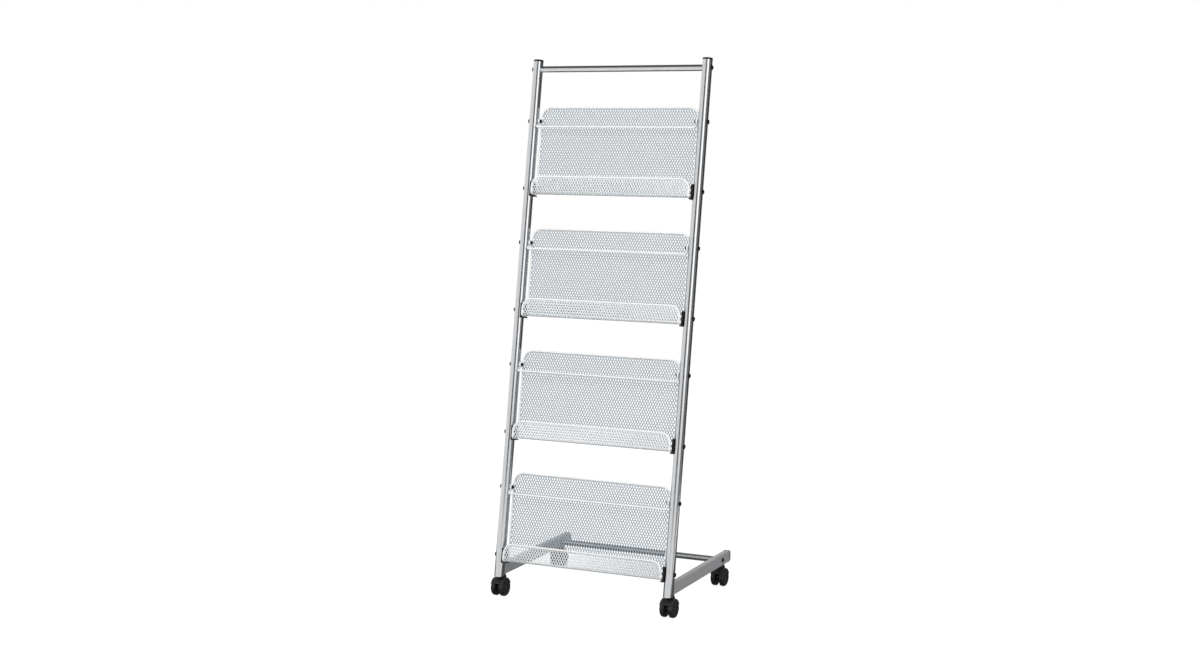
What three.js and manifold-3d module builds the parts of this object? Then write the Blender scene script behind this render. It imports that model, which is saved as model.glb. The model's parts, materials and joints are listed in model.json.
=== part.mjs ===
// Mobile display rack for periodicals: two leaning tube uprights on a castored base,
// carrying four folded mesh pockets, each with a wire rim and a retaining wire.
// Millimetres, +Z up, the front of the rack faces -Y.
import * as THREE from 'three';
import { mergeGeometries, mergeVertices } from 'three/addons/utils/BufferGeometryUtils.js';
import Module from 'manifold-3d';

const wasm = await Module();
wasm.setup();

// Clearance between neighbouring pieces, and how far a cutting shape overshoots
const FIT = 0.3;
const CUT_OVERRUN = 2;

// Uprights, top rail and plugs; the rail's height is taken from the top pocket's edge
const UPRIGHT_SPACING = 460;
const UPRIGHT_DIAMETER = 25;
const TUBE_WALL = 1.5;
const LEAN_DEGREES = 10;
const RAIL_DIAMETER = 16;
const RAIL_ABOVE_POCKETS = 93;
const RAIL_BELOW_TOP = 19;
const CAP_HEIGHT = 5;
const CAP_PLUG_DEPTH = 12;
const CAP_EDGE = 1.5;

// Base arms and rear crossbar
const ARM_HEIGHT = 30;
const ARM_WIDTH = 15;
const ARM_CORNER = 3;
const ARM_REACH = 376;
const ARM_CAP_LENGTH = 12;
const ARM_CAP_PLUG = 14;
const ARM_CAP_ROUND = 9;
const CROSSBAR_DIAMETER = 16;
const CROSSBAR_INSERT = 20;
const SCREW_GRIP = 14;

// Places of the caster stems in the arms: clear of the uprights, screws and plugs
const STEM_TO_UPRIGHT = 0.8;
const STEM_TO_SCREW = 8.5;
const STEM_TO_CAP_PLUG = 12;
const STEM_HEADROOM = 8.5;

// Casters
const WHEEL_DIAMETER = 44;
const WHEEL_WIDTH = 12;
const WHEEL_EDGE = 1.8;
const WHEEL_RIM = 5;
const WHEEL_DISH = 1.5;
const WHEEL_SIDE_GAP = 0.5;
const CASTER_TRAIL = 15;
const HOOD_CORE_WALL = 2.2;
const HOOD_HUB_RADIUS = 9;
const HOOD_COVER_GAP = 1;
const HOOD_COVER_WALL = 2;
const HOOD_COVER_START_DEGREES = 18;
const HOOD_COVER_END_DEGREES = 150;
const HOOD_NECK = 2.2;
const AXLE_DIAMETER = 6;
const STEM_DIAMETER = 8;
const PIVOT_DIAMETER = 6;
const PIVOT_WALL = 3.2;
const PIVOT_DEPTH = 23;
const COLLAR_DIAMETER = 13;
const COLLAR_HEIGHT = 2.2;

// Pockets, measured along the leaning uprights
const POCKET_COUNT = 4;
const POCKET_SPACING = 81;
const POCKET_ABOVE_ARM = 0.6;
const POCKET_HEIGHT = 226;
const LIP_HEIGHT = 48;
const LIP_FORWARD = 18;
const RIM_DIAMETER = 5;
const PANEL_CORNER = 25;
const LIP_CORNER = 24;
const FOLD_INSIDE = 3.5;
const SHEET_THICKNESS = 1.2;

// Coarse diamond openings in the sheet, which stand for the fine gaps of the mesh
const MESH_COLUMNS = 10;
const MESH_PANEL_ROWS = 3;
const MESH_LIP_ROWS = 1;
const MESH_STRAND = 5;
const DIAMOND_SIDES = 4;

// Retaining wires
const RETAINER_DIAMETER = 4.5;
const RETAINER_FORWARD = 15.5;
const RETAINER_DROP = 16;
const RETAINER_BEND = 6;
const EYELET_TURN_DEGREES = 285;

// Bolts, screws and lower brackets
const BOLT_DIAMETER = 5;
const HEAD_OVERHANG = 2;
const HEAD_HEIGHT = 3;
const NUT_OVERHANG = 1.5;
const NUT_HEIGHT = 4.5;
const FASTENER_EDGE = 1.2;
const UPPER_BOLT_BELOW_TOP = 39;
const BRACKET_HEIGHT = 34;
const BRACKET_DEPTH = 26;
const BRACKET_WEB = 1.4;
const BRACKET_WRAP = 5.5;
const LEDGE_REACH = 4;
const LEDGE_THICKNESS = 2.5;

// Facet counts
const TUBE_FACETS = 24;
const WHEEL_FACETS = 20;
const BOLT_FACETS = 10;
const WIRE_FACETS = 6;
const CORNER_STEPS = 5;
const FOLD_STEPS = 3;

// Values worked out from the driving dimensions
const LEAN = THREE.MathUtils.degToRad(LEAN_DEGREES);
const UPRIGHT_RADIUS = UPRIGHT_DIAMETER / 2;
const HALF_SPACING = UPRIGHT_SPACING / 2;
const INNER_FACE = HALF_SPACING - UPRIGHT_RADIUS;
const OUTER_FACE = HALF_SPACING + UPRIGHT_RADIUS;

const BOLT_RADIUS = BOLT_DIAMETER / 2;
const NUT_RADIUS = BOLT_RADIUS + NUT_OVERHANG;
const BOLT_HOLE_DIAMETER = BOLT_DIAMETER + 2 * FIT;

const WHEEL_RADIUS = WHEEL_DIAMETER / 2;
const COVER_INNER = WHEEL_RADIUS + HOOD_COVER_GAP;
const COVER_OUTER = COVER_INNER + HOOD_COVER_WALL;
const HOOD_CORE_WIDTH = PIVOT_DIAMETER + 2 * FIT + 2 * HOOD_CORE_WALL;
const HOOD_TOP = WHEEL_RADIUS + COVER_OUTER + HOOD_NECK;
const COLLAR_BOTTOM = HOOD_TOP + FIT;
const COLLAR_TOP = COLLAR_BOTTOM + COLLAR_HEIGHT;
const ARM_UNDERSIDE = COLLAR_TOP + FIT;

const STEM_RADIUS = STEM_DIAMETER / 2;
const STEM_IN_ARM = ARM_HEIGHT - TUBE_WALL - STEM_HEADROOM;
const UPRIGHT_BACK = UPRIGHT_RADIUS / Math.cos(LEAN) + STEM_IN_ARM * Math.tan(LEAN);
const FRONT_STEM_SETBACK = UPRIGHT_BACK + STEM_TO_UPRIGHT + STEM_RADIUS;
const REAR_STEM_SETBACK = ARM_REACH - ARM_CAP_PLUG - STEM_TO_CAP_PLUG - STEM_RADIUS;
const STEM_SETBACKS = { front: FRONT_STEM_SETBACK, rear: REAR_STEM_SETBACK };
const CROSSBAR_SETBACK = REAR_STEM_SETBACK - STEM_RADIUS - STEM_TO_SCREW - BOLT_RADIUS;

const RIM_RADIUS = RIM_DIAMETER / 2;
const FOLD_RADIUS = RIM_RADIUS + FOLD_INSIDE;
const LIP_BEND = Math.min(LIP_CORNER, LIP_HEIGHT - RIM_DIAMETER - FOLD_RADIUS - FIT);
const POCKET_PITCH = POCKET_HEIGHT + POCKET_SPACING;
const POCKET_HALF_WIDTH = INNER_FACE - BRACKET_WEB - 2 * FIT;
const RIM_X = POCKET_HALF_WIDTH - RIM_RADIUS;
const RETAINER_RADIUS = RETAINER_DIAMETER / 2;
const EYELET_RADIUS = BOLT_RADIUS + FIT + RETAINER_RADIUS;
const EYELET_X = INNER_FACE - FIT - RETAINER_RADIUS;
const PANEL_SETBACK = Math.max(EYELET_RADIUS + RETAINER_RADIUS, NUT_RADIUS) + FIT + RIM_RADIUS;
const UPPER_BOLT_HEIGHT = POCKET_HEIGHT - UPPER_BOLT_BELOW_TOP;
const LOWER_BOLT_HEIGHT = Math.max(BRACKET_HEIGHT / 2, RIM_DIAMETER + FIT + NUT_RADIUS);

const BRACKET_TILT = (BRACKET_DEPTH / 2) * Math.sin(LEAN);
const BRACKET_FOOT = (ARM_HEIGHT + POCKET_ABOVE_ARM + BRACKET_TILT) / Math.cos(LEAN);
const LOWEST_POCKET = BRACKET_FOOT + LEDGE_THICKNESS + FIT;
const POCKETS_TOP = LOWEST_POCKET + (POCKET_COUNT - 1) * POCKET_PITCH + POCKET_HEIGHT;
const RAIL_AT = POCKETS_TOP + RAIL_ABOVE_POCKETS;
const UPRIGHT_LENGTH = RAIL_AT + RAIL_BELOW_TOP;

function finish(name, colour, roughness, metalness) {
  return () => {
    const material = new THREE.MeshStandardMaterial({ color: colour, roughness, metalness });
    material.name = name;
    return material;
  };
}

const silverPaint = finish('silver_paint', 0xb4b7ba, 0.35, 0.85);
const greyPaint = finish('grey_paint', 0x8c8e92, 0.45, 0.7);
const greyPlastic = finish('grey_plastic', 0x7d7f83, 0.6, 0);
const brightWire = finish('bright_wire', 0xe3e6e8, 0.3, 0.8);
const meshSteel = finish('mesh_steel', 0xc6ced2, 0.45, 0.7);
const blackPlastic = finish('black_plastic', 0x17171a, 0.5, 0);
const blackSteel = finish('black_steel', 0x1b1b1d, 0.4, 0.6);
const pinSteel = finish('pin_steel', 0xa9abad, 0.3, 0.95);

// A three.js geometry as a solid that can be joined and cut, and back again
function solidOf(geometry) {
  const bare = geometry.clone();
  bare.deleteAttribute('normal');
  bare.deleteAttribute('uv');
  const merged = mergeVertices(bare, 1e-4);
  const vertProperties = new Float32Array(merged.attributes.position.array);
  const triVerts = new Uint32Array(merged.index.array);
  return new wasm.Manifold(new wasm.Mesh({ numProp: 3, vertProperties, triVerts }));
}

function geometryOf(solid) {
  const mesh = solid.getMesh();
  const geometry = new THREE.BufferGeometry();
  geometry.setAttribute('position', new THREE.BufferAttribute(mesh.vertProperties, 3));
  geometry.setIndex(new THREE.BufferAttribute(mesh.triVerts, 1));
  geometry.computeVertexNormals();
  return geometry;
}

function piece(parent, name, solid, material) {
  const mesh = new THREE.Mesh(geometryOf(solid), material());
  mesh.name = name;
  parent.add(mesh);
  return mesh;
}

// A round tube or bar along +Z, starting at the origin
function tubeAlongZ(diameter, wall, length) {
  const shape = new THREE.Shape();
  shape.absarc(0, 0, diameter / 2, 0, 2 * Math.PI, false);
  if (wall) {
    const bore = new THREE.Path();
    bore.absarc(0, 0, diameter / 2 - wall, 0, 2 * Math.PI, true);
    shape.holes.push(bore);
  }
  return new THREE.ExtrudeGeometry(shape, {
    depth: length,
    bevelEnabled: false,
    curveSegments: TUBE_FACETS / 2,
  });
}

function rodAlongX(diameter, from, to) {
  const rod = new THREE.CylinderGeometry(diameter / 2, diameter / 2, to - from, BOLT_FACETS);
  return rod.rotateZ(Math.PI / 2).translate((from + to) / 2, 0, 0);
}

function rodAlongZ(diameter, from, to) {
  const rod = new THREE.CylinderGeometry(diameter / 2, diameter / 2, to - from, BOLT_FACETS);
  return rod.rotateX(Math.PI / 2).translate(0, 0, (from + to) / 2);
}

// A turned piece: outline points are [radius, place along the axis]
function turned(outline, facets) {
  return new THREE.LatheGeometry(outline.map(([r, a]) => new THREE.Vector2(r, a)), facets);
}

function block(from, to) {
  const size = to.map((value, axis) => value - from[axis]);
  const box = new THREE.BoxGeometry(...size);
  return box.translate(...from.map((value, axis) => value + size[axis] / 2));
}

// An outline in Y and Z pulled to a width along X, centred on X = 0
function plateAcrossX(shape, width, segments) {
  const plate = new THREE.ExtrudeGeometry(shape, {
    depth: width,
    bevelEnabled: false,
    curveSegments: segments,
  });
  return plate.rotateX(Math.PI / 2).rotateZ(Math.PI / 2).translate(-width / 2, 0, 0);
}

// Stations along a path of straight runs with a rounded bend at each corner
function roundedStations(corners, radii, steps) {
  const stations = [corners[0].clone()];
  for (let i = 1; i < corners.length - 1; i += 1) {
    const back = corners[i - 1].clone().sub(corners[i]).normalize();
    const ahead = corners[i + 1].clone().sub(corners[i]).normalize();
    const half = back.angleTo(ahead) / 2;
    const centre = back.clone().add(ahead).normalize();
    centre.multiplyScalar(radii[i] / Math.sin(half)).add(corners[i]);
    const reach = radii[i] / Math.tan(half);
    const first = corners[i].clone().addScaledVector(back, reach).sub(centre);
    const last = corners[i].clone().addScaledVector(ahead, reach).sub(centre);
    const sweep = Math.PI - 2 * half;
    for (let k = 0; k <= steps[i]; k += 1) {
      const turn = (sweep * k) / steps[i];
      const arm = first.clone().multiplyScalar(Math.sin(sweep - turn));
      arm.addScaledVector(last, Math.sin(turn)).divideScalar(Math.sin(sweep));
      stations.push(centre.clone().add(arm));
    }
  }
  stations.push(corners[corners.length - 1].clone());
  return stations;
}

// A curve that is sampled at its own stations, so straight runs stay single facets
class BentWire extends THREE.Curve {
  constructor(stations) {
    super();
    this.stations = stations;
  }

  getUtoTmapping(u) {
    return u;
  }

  getPoint(t, target = new THREE.Vector3()) {
    const last = this.stations.length - 1;
    const index = Math.min(Math.floor(t * last), last - 1);
    return target.lerpVectors(this.stations[index], this.stations[index + 1], t * last - index);
  }
}

function closedWire(stations, diameter) {
  const path = new BentWire(stations);
  return new THREE.TubeGeometry(path, stations.length - 1, diameter / 2, WIRE_FACETS, true);
}

function openWire(stations, diameter) {
  const section = new THREE.Shape();
  section.absarc(0, 0, diameter / 2, 0, 2 * Math.PI, false);
  return new THREE.ExtrudeGeometry(section, {
    steps: stations.length - 1,
    extrudePath: new BentWire(stations),
    curveSegments: WIRE_FACETS / 2,
  });
}

// Outline of a bolt from its head's top, with an optional cap nut at the far end
function boltOutline(grip, nutHeight) {
  const head = BOLT_RADIUS + HEAD_OVERHANG;
  const seat = HEAD_HEIGHT + grip;
  const end = seat + nutHeight;
  const outline = [
    [0, 0],
    [head - FASTENER_EDGE, 0],
    [head, FASTENER_EDGE],
    [head, HEAD_HEIGHT],
    [BOLT_RADIUS, HEAD_HEIGHT],
    [BOLT_RADIUS, seat],
  ];
  if (nutHeight) {
    outline.push([NUT_RADIUS, seat], [NUT_RADIUS, end - FASTENER_EDGE], [NUT_RADIUS - FASTENER_EDGE, end]);
  }
  outline.push([0, end]);
  return outline;
}

// The bolt lies along X on the right side, its head's underside at the given X
function boltAt(headUnderside, grip, nutHeight) {
  const bolt = turned(boltOutline(grip, nutHeight), BOLT_FACETS);
  return bolt.rotateZ(Math.PI / 2).translate(headUnderside + HEAD_HEIGHT, 0, 0);
}

function forEachSide(build) {
  build('left', -1);
  build('right', 1);
}

// Pieces are drawn on the right and mirrored for the left
function onSide(solid, side) {
  return side > 0 ? solid : solid.mirror([1, 0, 0]);
}

function pocketBase(index) {
  return LOWEST_POCKET + (POCKET_COUNT - 1 - index) * POCKET_PITCH;
}

const rack = new THREE.Group();

// Everything that leans with the uprights is drawn upright in this group
const leaning = new THREE.Group();
leaning.position.z = ARM_UNDERSIDE;
leaning.rotation.x = -LEAN;
rack.add(leaning);

// Upright: its foot is cut level with the underside of the arm
function uprightSolid() {
  const reach = 2 * UPRIGHT_DIAMETER;
  const tube = tubeAlongZ(UPRIGHT_DIAMETER, TUBE_WALL, UPRIGHT_LENGTH + reach);
  const ground = block([-reach, -reach, -2 * reach], [reach, reach, 0]).rotateX(LEAN);
  let solid = solidOf(tube.translate(0, 0, -reach)).subtract(solidOf(ground));
  for (let index = 0; index < POCKET_COUNT; index += 1) {
    for (const height of [LOWER_BOLT_HEIGHT, UPPER_BOLT_HEIGHT]) {
      const hole = rodAlongX(BOLT_HOLE_DIAMETER, -UPRIGHT_DIAMETER, UPRIGHT_DIAMETER);
      solid = solid.subtract(solidOf(hole.translate(0, 0, pocketBase(index) + height)));
    }
  }
  return solid;
}

function uprightCapSolid() {
  const plug = UPRIGHT_RADIUS - TUBE_WALL - FIT;
  const outline = [
    [0, -CAP_PLUG_DEPTH],
    [plug, -CAP_PLUG_DEPTH],
    [plug, FIT],
    [UPRIGHT_RADIUS, FIT],
    [UPRIGHT_RADIUS, CAP_HEIGHT - CAP_EDGE],
    [UPRIGHT_RADIUS - CAP_EDGE, CAP_HEIGHT],
    [0, CAP_HEIGHT],
  ];
  return solidOf(turned(outline, TUBE_FACETS).rotateX(Math.PI / 2));
}

forEachSide((label, side) => {
  const upright = piece(leaning, `upright_${label}`, uprightSolid(), silverPaint);
  upright.position.x = side * HALF_SPACING;
  const cap = piece(leaning, `upright_cap_${label}`, uprightCapSolid(), blackPlastic);
  cap.position.set(side * HALF_SPACING, 0, UPRIGHT_LENGTH);
});

// The room an upright needs, about its own axis in the leaning frame
function uprightRoom() {
  const room = tubeAlongZ(UPRIGHT_DIAMETER + 2 * FIT, 0, 2 * UPRIGHT_LENGTH);
  return solidOf(room.translate(0, 0, -UPRIGHT_LENGTH));
}

function topRailSolid() {
  const tube = tubeAlongZ(RAIL_DIAMETER, TUBE_WALL, UPRIGHT_SPACING);
  let solid = solidOf(tube.rotateY(Math.PI / 2).translate(-HALF_SPACING, 0, 0));
  forEachSide((label, side) => {
    solid = solid.subtract(uprightRoom().translate([side * HALF_SPACING, 0, 0]));
  });
  return solid;
}

const topRail = piece(leaning, 'top_rail', topRailSolid(), silverPaint);
topRail.position.z = RAIL_AT;

function roundedRectangle(target, width, height, corner) {
  const x = width / 2 - corner;
  const y = height / 2 - corner;
  target.moveTo(-x, -y - corner);
  target.lineTo(x, -y - corner);
  target.absarc(x, -y, corner, -Math.PI / 2, 0, false);
  target.absarc(x, y, corner, 0, Math.PI / 2, false);
  target.absarc(-x, y, corner, Math.PI / 2, Math.PI, false);
  target.absarc(-x, -y, corner, Math.PI, 1.5 * Math.PI, false);
  return target;
}

// A flat-sided bar along Y, hollow where an inset for its bore is given
function boxBarAlongY(width, height, corner, from, to, bore) {
  const shape = roundedRectangle(new THREE.Shape(), width, height, corner);
  if (bore) {
    const inner = Math.max(corner - bore, FIT);
    shape.holes.push(roundedRectangle(new THREE.Path(), width - 2 * bore, height - 2 * bore, inner));
  }
  const bar = new THREE.ExtrudeGeometry(shape, {
    depth: to - from,
    bevelEnabled: false,
    curveSegments: FOLD_STEPS,
  });
  return bar.rotateX(-Math.PI / 2).translate(0, from, 0);
}

// Base arm: a flat-sided tube from the foot of an upright to the rear
function baseArmSolid() {
  const tube = boxBarAlongY(ARM_WIDTH, ARM_HEIGHT, ARM_CORNER, 0, ARM_REACH, TUBE_WALL);
  let solid = solidOf(tube.translate(0, 0, ARM_HEIGHT / 2));
  solid = solid.subtract(uprightRoom().rotate([-LEAN_DEGREES, 0, 0]));
  for (const setback of Object.values(STEM_SETBACKS)) {
    const hole = rodAlongZ(STEM_DIAMETER + 2 * FIT, -CUT_OVERRUN, STEM_IN_ARM + FIT);
    solid = solid.subtract(solidOf(hole.translate(0, setback, 0)));
  }
  const screwHole = rodAlongX(BOLT_HOLE_DIAMETER, -ARM_WIDTH, ARM_WIDTH);
  return solid.subtract(solidOf(screwHole.translate(0, CROSSBAR_SETBACK, ARM_HEIGHT / 2)));
}

// Rear end cap: a rounded nose behind the tube and a plug inside it
function armCapSolid() {
  const half = ARM_HEIGHT / 2;
  const round = Math.min(ARM_CAP_ROUND, ARM_CAP_LENGTH - 2 * FIT, half - FIT);
  const flat = ARM_CAP_LENGTH - round;
  const nose = new THREE.Shape();
  nose.moveTo(FIT, -half);
  nose.lineTo(flat, -half);
  nose.absarc(flat, round - half, round, -Math.PI / 2, 0, false);
  nose.absarc(flat, half - round, round, 0, Math.PI / 2, false);
  nose.lineTo(FIT, half);
  const plate = solidOf(plateAcrossX(nose, ARM_WIDTH, CORNER_STEPS));
  const inset = TUBE_WALL + FIT;
  const corner = Math.max(ARM_CORNER - inset, FIT);
  const width = ARM_WIDTH - 2 * inset;
  const height = ARM_HEIGHT - 2 * inset;
  const plug = boxBarAlongY(width, height, corner, -ARM_CAP_PLUG, 2 * FIT, 0);
  return plate.add(solidOf(plug)).translate([0, ARM_REACH, half]);
}

function crossbarScrewSolid() {
  return solidOf(boltAt(ARM_WIDTH / 2 + FIT, ARM_WIDTH + FIT + SCREW_GRIP, 0));
}

forEachSide((label, side) => {
  const arm = piece(rack, `base_arm_${label}`, baseArmSolid(), greyPaint);
  arm.position.set(side * HALF_SPACING, 0, ARM_UNDERSIDE);
  const cap = piece(rack, `arm_end_cap_${label}`, armCapSolid(), greyPlastic);
  cap.position.set(side * HALF_SPACING, 0, ARM_UNDERSIDE);
  const screw = piece(rack, `crossbar_screw_${label}`, onSide(crossbarScrewSolid(), side), blackSteel);
  screw.position.set(side * HALF_SPACING, CROSSBAR_SETBACK, ARM_UNDERSIDE + ARM_HEIGHT / 2);
});

// Crossbar: a tube with a thick insert at each end that takes the screw
function crossbarSolid() {
  const half = HALF_SPACING - ARM_WIDTH / 2 - FIT;
  const insert = half - CROSSBAR_INSERT;
  const outer = CROSSBAR_DIAMETER / 2;
  const inner = outer - TUBE_WALL;
  const bore = BOLT_HOLE_DIAMETER / 2;
  const outline = [
    [bore, -half],
    [outer, -half],
    [outer, half],
    [bore, half],
    [bore, insert],
    [inner, insert],
    [inner, -insert],
    [bore, -insert],
    [bore, -half],
  ];
  return solidOf(turned(outline, TUBE_FACETS).rotateZ(Math.PI / 2));
}

const crossbar = piece(rack, 'rear_crossbar', crossbarSolid(), silverPaint);
crossbar.position.set(0, CROSSBAR_SETBACK, ARM_UNDERSIDE + ARM_HEIGHT / 2);

// Twin-wheel casters: a fixed stem, a hood that swivels on it, an axle and two wheels
function stemSolid() {
  const pivot = PIVOT_DIAMETER / 2;
  const collar = COLLAR_DIAMETER / 2;
  const pivotEnd = HOOD_TOP - PIVOT_DEPTH + FIT;
  const outline = [
    [0, pivotEnd],
    [pivot, pivotEnd],
    [pivot, COLLAR_BOTTOM],
    [collar, COLLAR_BOTTOM],
    [collar, COLLAR_TOP],
    [STEM_RADIUS, COLLAR_TOP],
    [STEM_RADIUS, ARM_UNDERSIDE + STEM_IN_ARM],
    [0, ARM_UNDERSIDE + STEM_IN_ARM],
  ];
  return solidOf(turned(outline, BOLT_FACETS).rotateX(Math.PI / 2));
}

// Hood: a core between the wheels and an arched cover over both of them
function hoodSolid() {
  const neck = PIVOT_DIAMETER / 2 + FIT + PIVOT_WALL;
  const core = new THREE.Shape();
  core.moveTo(neck, HOOD_TOP);
  core.lineTo(-neck, HOOD_TOP);
  core.lineTo(-neck, WHEEL_RADIUS + HOOD_HUB_RADIUS);
  core.lineTo(-CASTER_TRAIL, WHEEL_RADIUS + HOOD_HUB_RADIUS);
  core.absarc(-CASTER_TRAIL, WHEEL_RADIUS, HOOD_HUB_RADIUS, Math.PI / 2, 1.5 * Math.PI, false);
  core.lineTo(neck, WHEEL_RADIUS - HOOD_HUB_RADIUS);
  const start = THREE.MathUtils.degToRad(HOOD_COVER_START_DEGREES);
  const end = THREE.MathUtils.degToRad(HOOD_COVER_END_DEGREES);
  const cover = new THREE.Shape();
  cover.absarc(-CASTER_TRAIL, WHEEL_RADIUS, COVER_OUTER, start, end, false);
  cover.absarc(-CASTER_TRAIL, WHEEL_RADIUS, COVER_INNER, end, start, true);
  const coverWidth = HOOD_CORE_WIDTH + 2 * (WHEEL_SIDE_GAP + WHEEL_WIDTH);
  const corePlate = solidOf(plateAcrossX(core, HOOD_CORE_WIDTH, CORNER_STEPS));
  const coverPlate = solidOf(plateAcrossX(cover, coverWidth, CORNER_STEPS));
  const pivotBore = rodAlongZ(PIVOT_DIAMETER + 2 * FIT, HOOD_TOP - PIVOT_DEPTH, HOOD_TOP + CUT_OVERRUN);
  const axleBore = rodAlongX(AXLE_DIAMETER + 2 * FIT, -HOOD_CORE_WIDTH, HOOD_CORE_WIDTH);
  axleBore.translate(0, -CASTER_TRAIL, WHEEL_RADIUS);
  return corePlate.add(coverPlate).subtract(solidOf(pivotBore)).subtract(solidOf(axleBore));
}

// Wheel on the right of the hood: a facet, not an edge, faces the floor
function wheelSolid() {
  const tread = WHEEL_RADIUS / Math.cos(Math.PI / WHEEL_FACETS);
  const bore = AXLE_DIAMETER / 2 + FIT;
  const web = WHEEL_WIDTH - WHEEL_DISH;
  const outline = [
    [bore, 0],
    [tread - WHEEL_EDGE, 0],
    [tread, WHEEL_EDGE],
    [tread, WHEEL_WIDTH - WHEEL_EDGE],
    [tread - WHEEL_EDGE, WHEEL_WIDTH],
    [tread - WHEEL_RIM, WHEEL_WIDTH],
    [tread - WHEEL_RIM - WHEEL_DISH, web],
    [bore, web],
    [bore, 0],
  ];
  const wheel = turned(outline, WHEEL_FACETS).rotateY(Math.PI / WHEEL_FACETS);
  wheel.rotateZ(-Math.PI / 2).translate(HOOD_CORE_WIDTH / 2 + WHEEL_SIDE_GAP, 0, 0);
  return solidOf(wheel);
}

function axleSolid() {
  const half = HOOD_CORE_WIDTH / 2 + WHEEL_SIDE_GAP + WHEEL_WIDTH - WHEEL_DISH;
  return solidOf(rodAlongX(AXLE_DIAMETER, -half, half));
}

for (const [end, setback] of Object.entries(STEM_SETBACKS)) {
  forEachSide((label, side) => {
    const caster = new THREE.Group();
    caster.position.set(side * HALF_SPACING, setback, 0);
    rack.add(caster);
    const prefix = `caster_${end}_${label}`;
    piece(caster, `${prefix}_stem`, stemSolid(), pinSteel);
    piece(caster, `${prefix}_hood`, hoodSolid(), blackPlastic);
    const axle = piece(caster, `${prefix}_axle`, axleSolid(), pinSteel);
    axle.position.set(0, -CASTER_TRAIL, WHEEL_RADIUS);
    forEachSide((wheelLabel, wheelSide) => {
      const solid = onSide(wheelSolid(), wheelSide);
      const wheel = piece(caster, `${prefix}_wheel_${wheelLabel}`, solid, blackPlastic);
      wheel.position.set(0, -CASTER_TRAIL, WHEEL_RADIUS);
    });
  });
}

// Pocket rim: one wire round the folded outline of panel, floor and lip
function rimSolid() {
  const back = PANEL_SETBACK;
  const front = -LIP_FORWARD;
  const floor = RIM_RADIUS;
  const top = POCKET_HEIGHT - RIM_RADIUS;
  const lip = LIP_HEIGHT - RIM_RADIUS;
  const halfLoop = [
    [back, top, PANEL_CORNER, CORNER_STEPS],
    [back, floor, FOLD_RADIUS, FOLD_STEPS],
    [front, floor, FOLD_RADIUS, FOLD_STEPS],
    [front, lip, LIP_BEND, CORNER_STEPS],
  ];
  const right = halfLoop.map(([y, z, ...bend]) => [RIM_X, y, z, ...bend]);
  const left = halfLoop.map(([y, z, ...bend]) => [-RIM_X, y, z, ...bend]).reverse();
  const loop = [[0, back, top, 0, 0], ...right, ...left, [0, back, top, 0, 0]];
  const corners = loop.map(([x, y, z]) => new THREE.Vector3(x, y, z));
  const radii = loop.map((corner) => corner[3]);
  const steps = loop.map((corner) => corner[4]);
  return solidOf(closedWire(roundedStations(corners, radii, steps), RIM_DIAMETER));
}

// What a rounded corner takes off the sheet, at its right edge X and upper edge Z
function sheetCornerCut(x, z, radius, y) {
  const cut = new THREE.Shape();
  cut.moveTo(radius + CUT_OVERRUN, CUT_OVERRUN);
  cut.lineTo(0, CUT_OVERRUN);
  cut.lineTo(0, 0);
  cut.absarc(0, -radius, radius, Math.PI / 2, 0, true);
  cut.lineTo(radius + CUT_OVERRUN, -radius);
  const depth = SHEET_THICKNESS + 2 * CUT_OVERRUN;
  const wedge = new THREE.ExtrudeGeometry(cut, {
    depth,
    bevelEnabled: false,
    curveSegments: CORNER_STEPS,
  });
  return solidOf(wedge.rotateX(Math.PI / 2).translate(x - radius, y + depth / 2, z));
}

// Diamonds through a standing run of the sheet, every other row offset by half a diamond
function diamondCutters(half, y, bottom, top, rows) {
  const width = (2 * half) / MESH_COLUMNS;
  const height = (top - bottom) / rows;
  const share = 1 - (MESH_STRAND * Math.hypot(width, height)) / (width * height);
  const depth = SHEET_THICKNESS + 2 * CUT_OVERRUN;
  const cutters = [];
  for (let row = 1; row < 2 * rows; row += 1) {
    const offset = row % 2 ? 1 / 2 : 1;
    for (let x = offset * width - half; x < half - width / 4; x += width) {
      const diamond = new THREE.CylinderGeometry(1, 1, depth, DIAMOND_SIDES);
      diamond.scale((share * width) / 2, 1, (share * height) / 2);
      cutters.push(diamond.translate(x, y, bottom + (row * height) / 2));
    }
  }
  return cutters;
}

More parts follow.
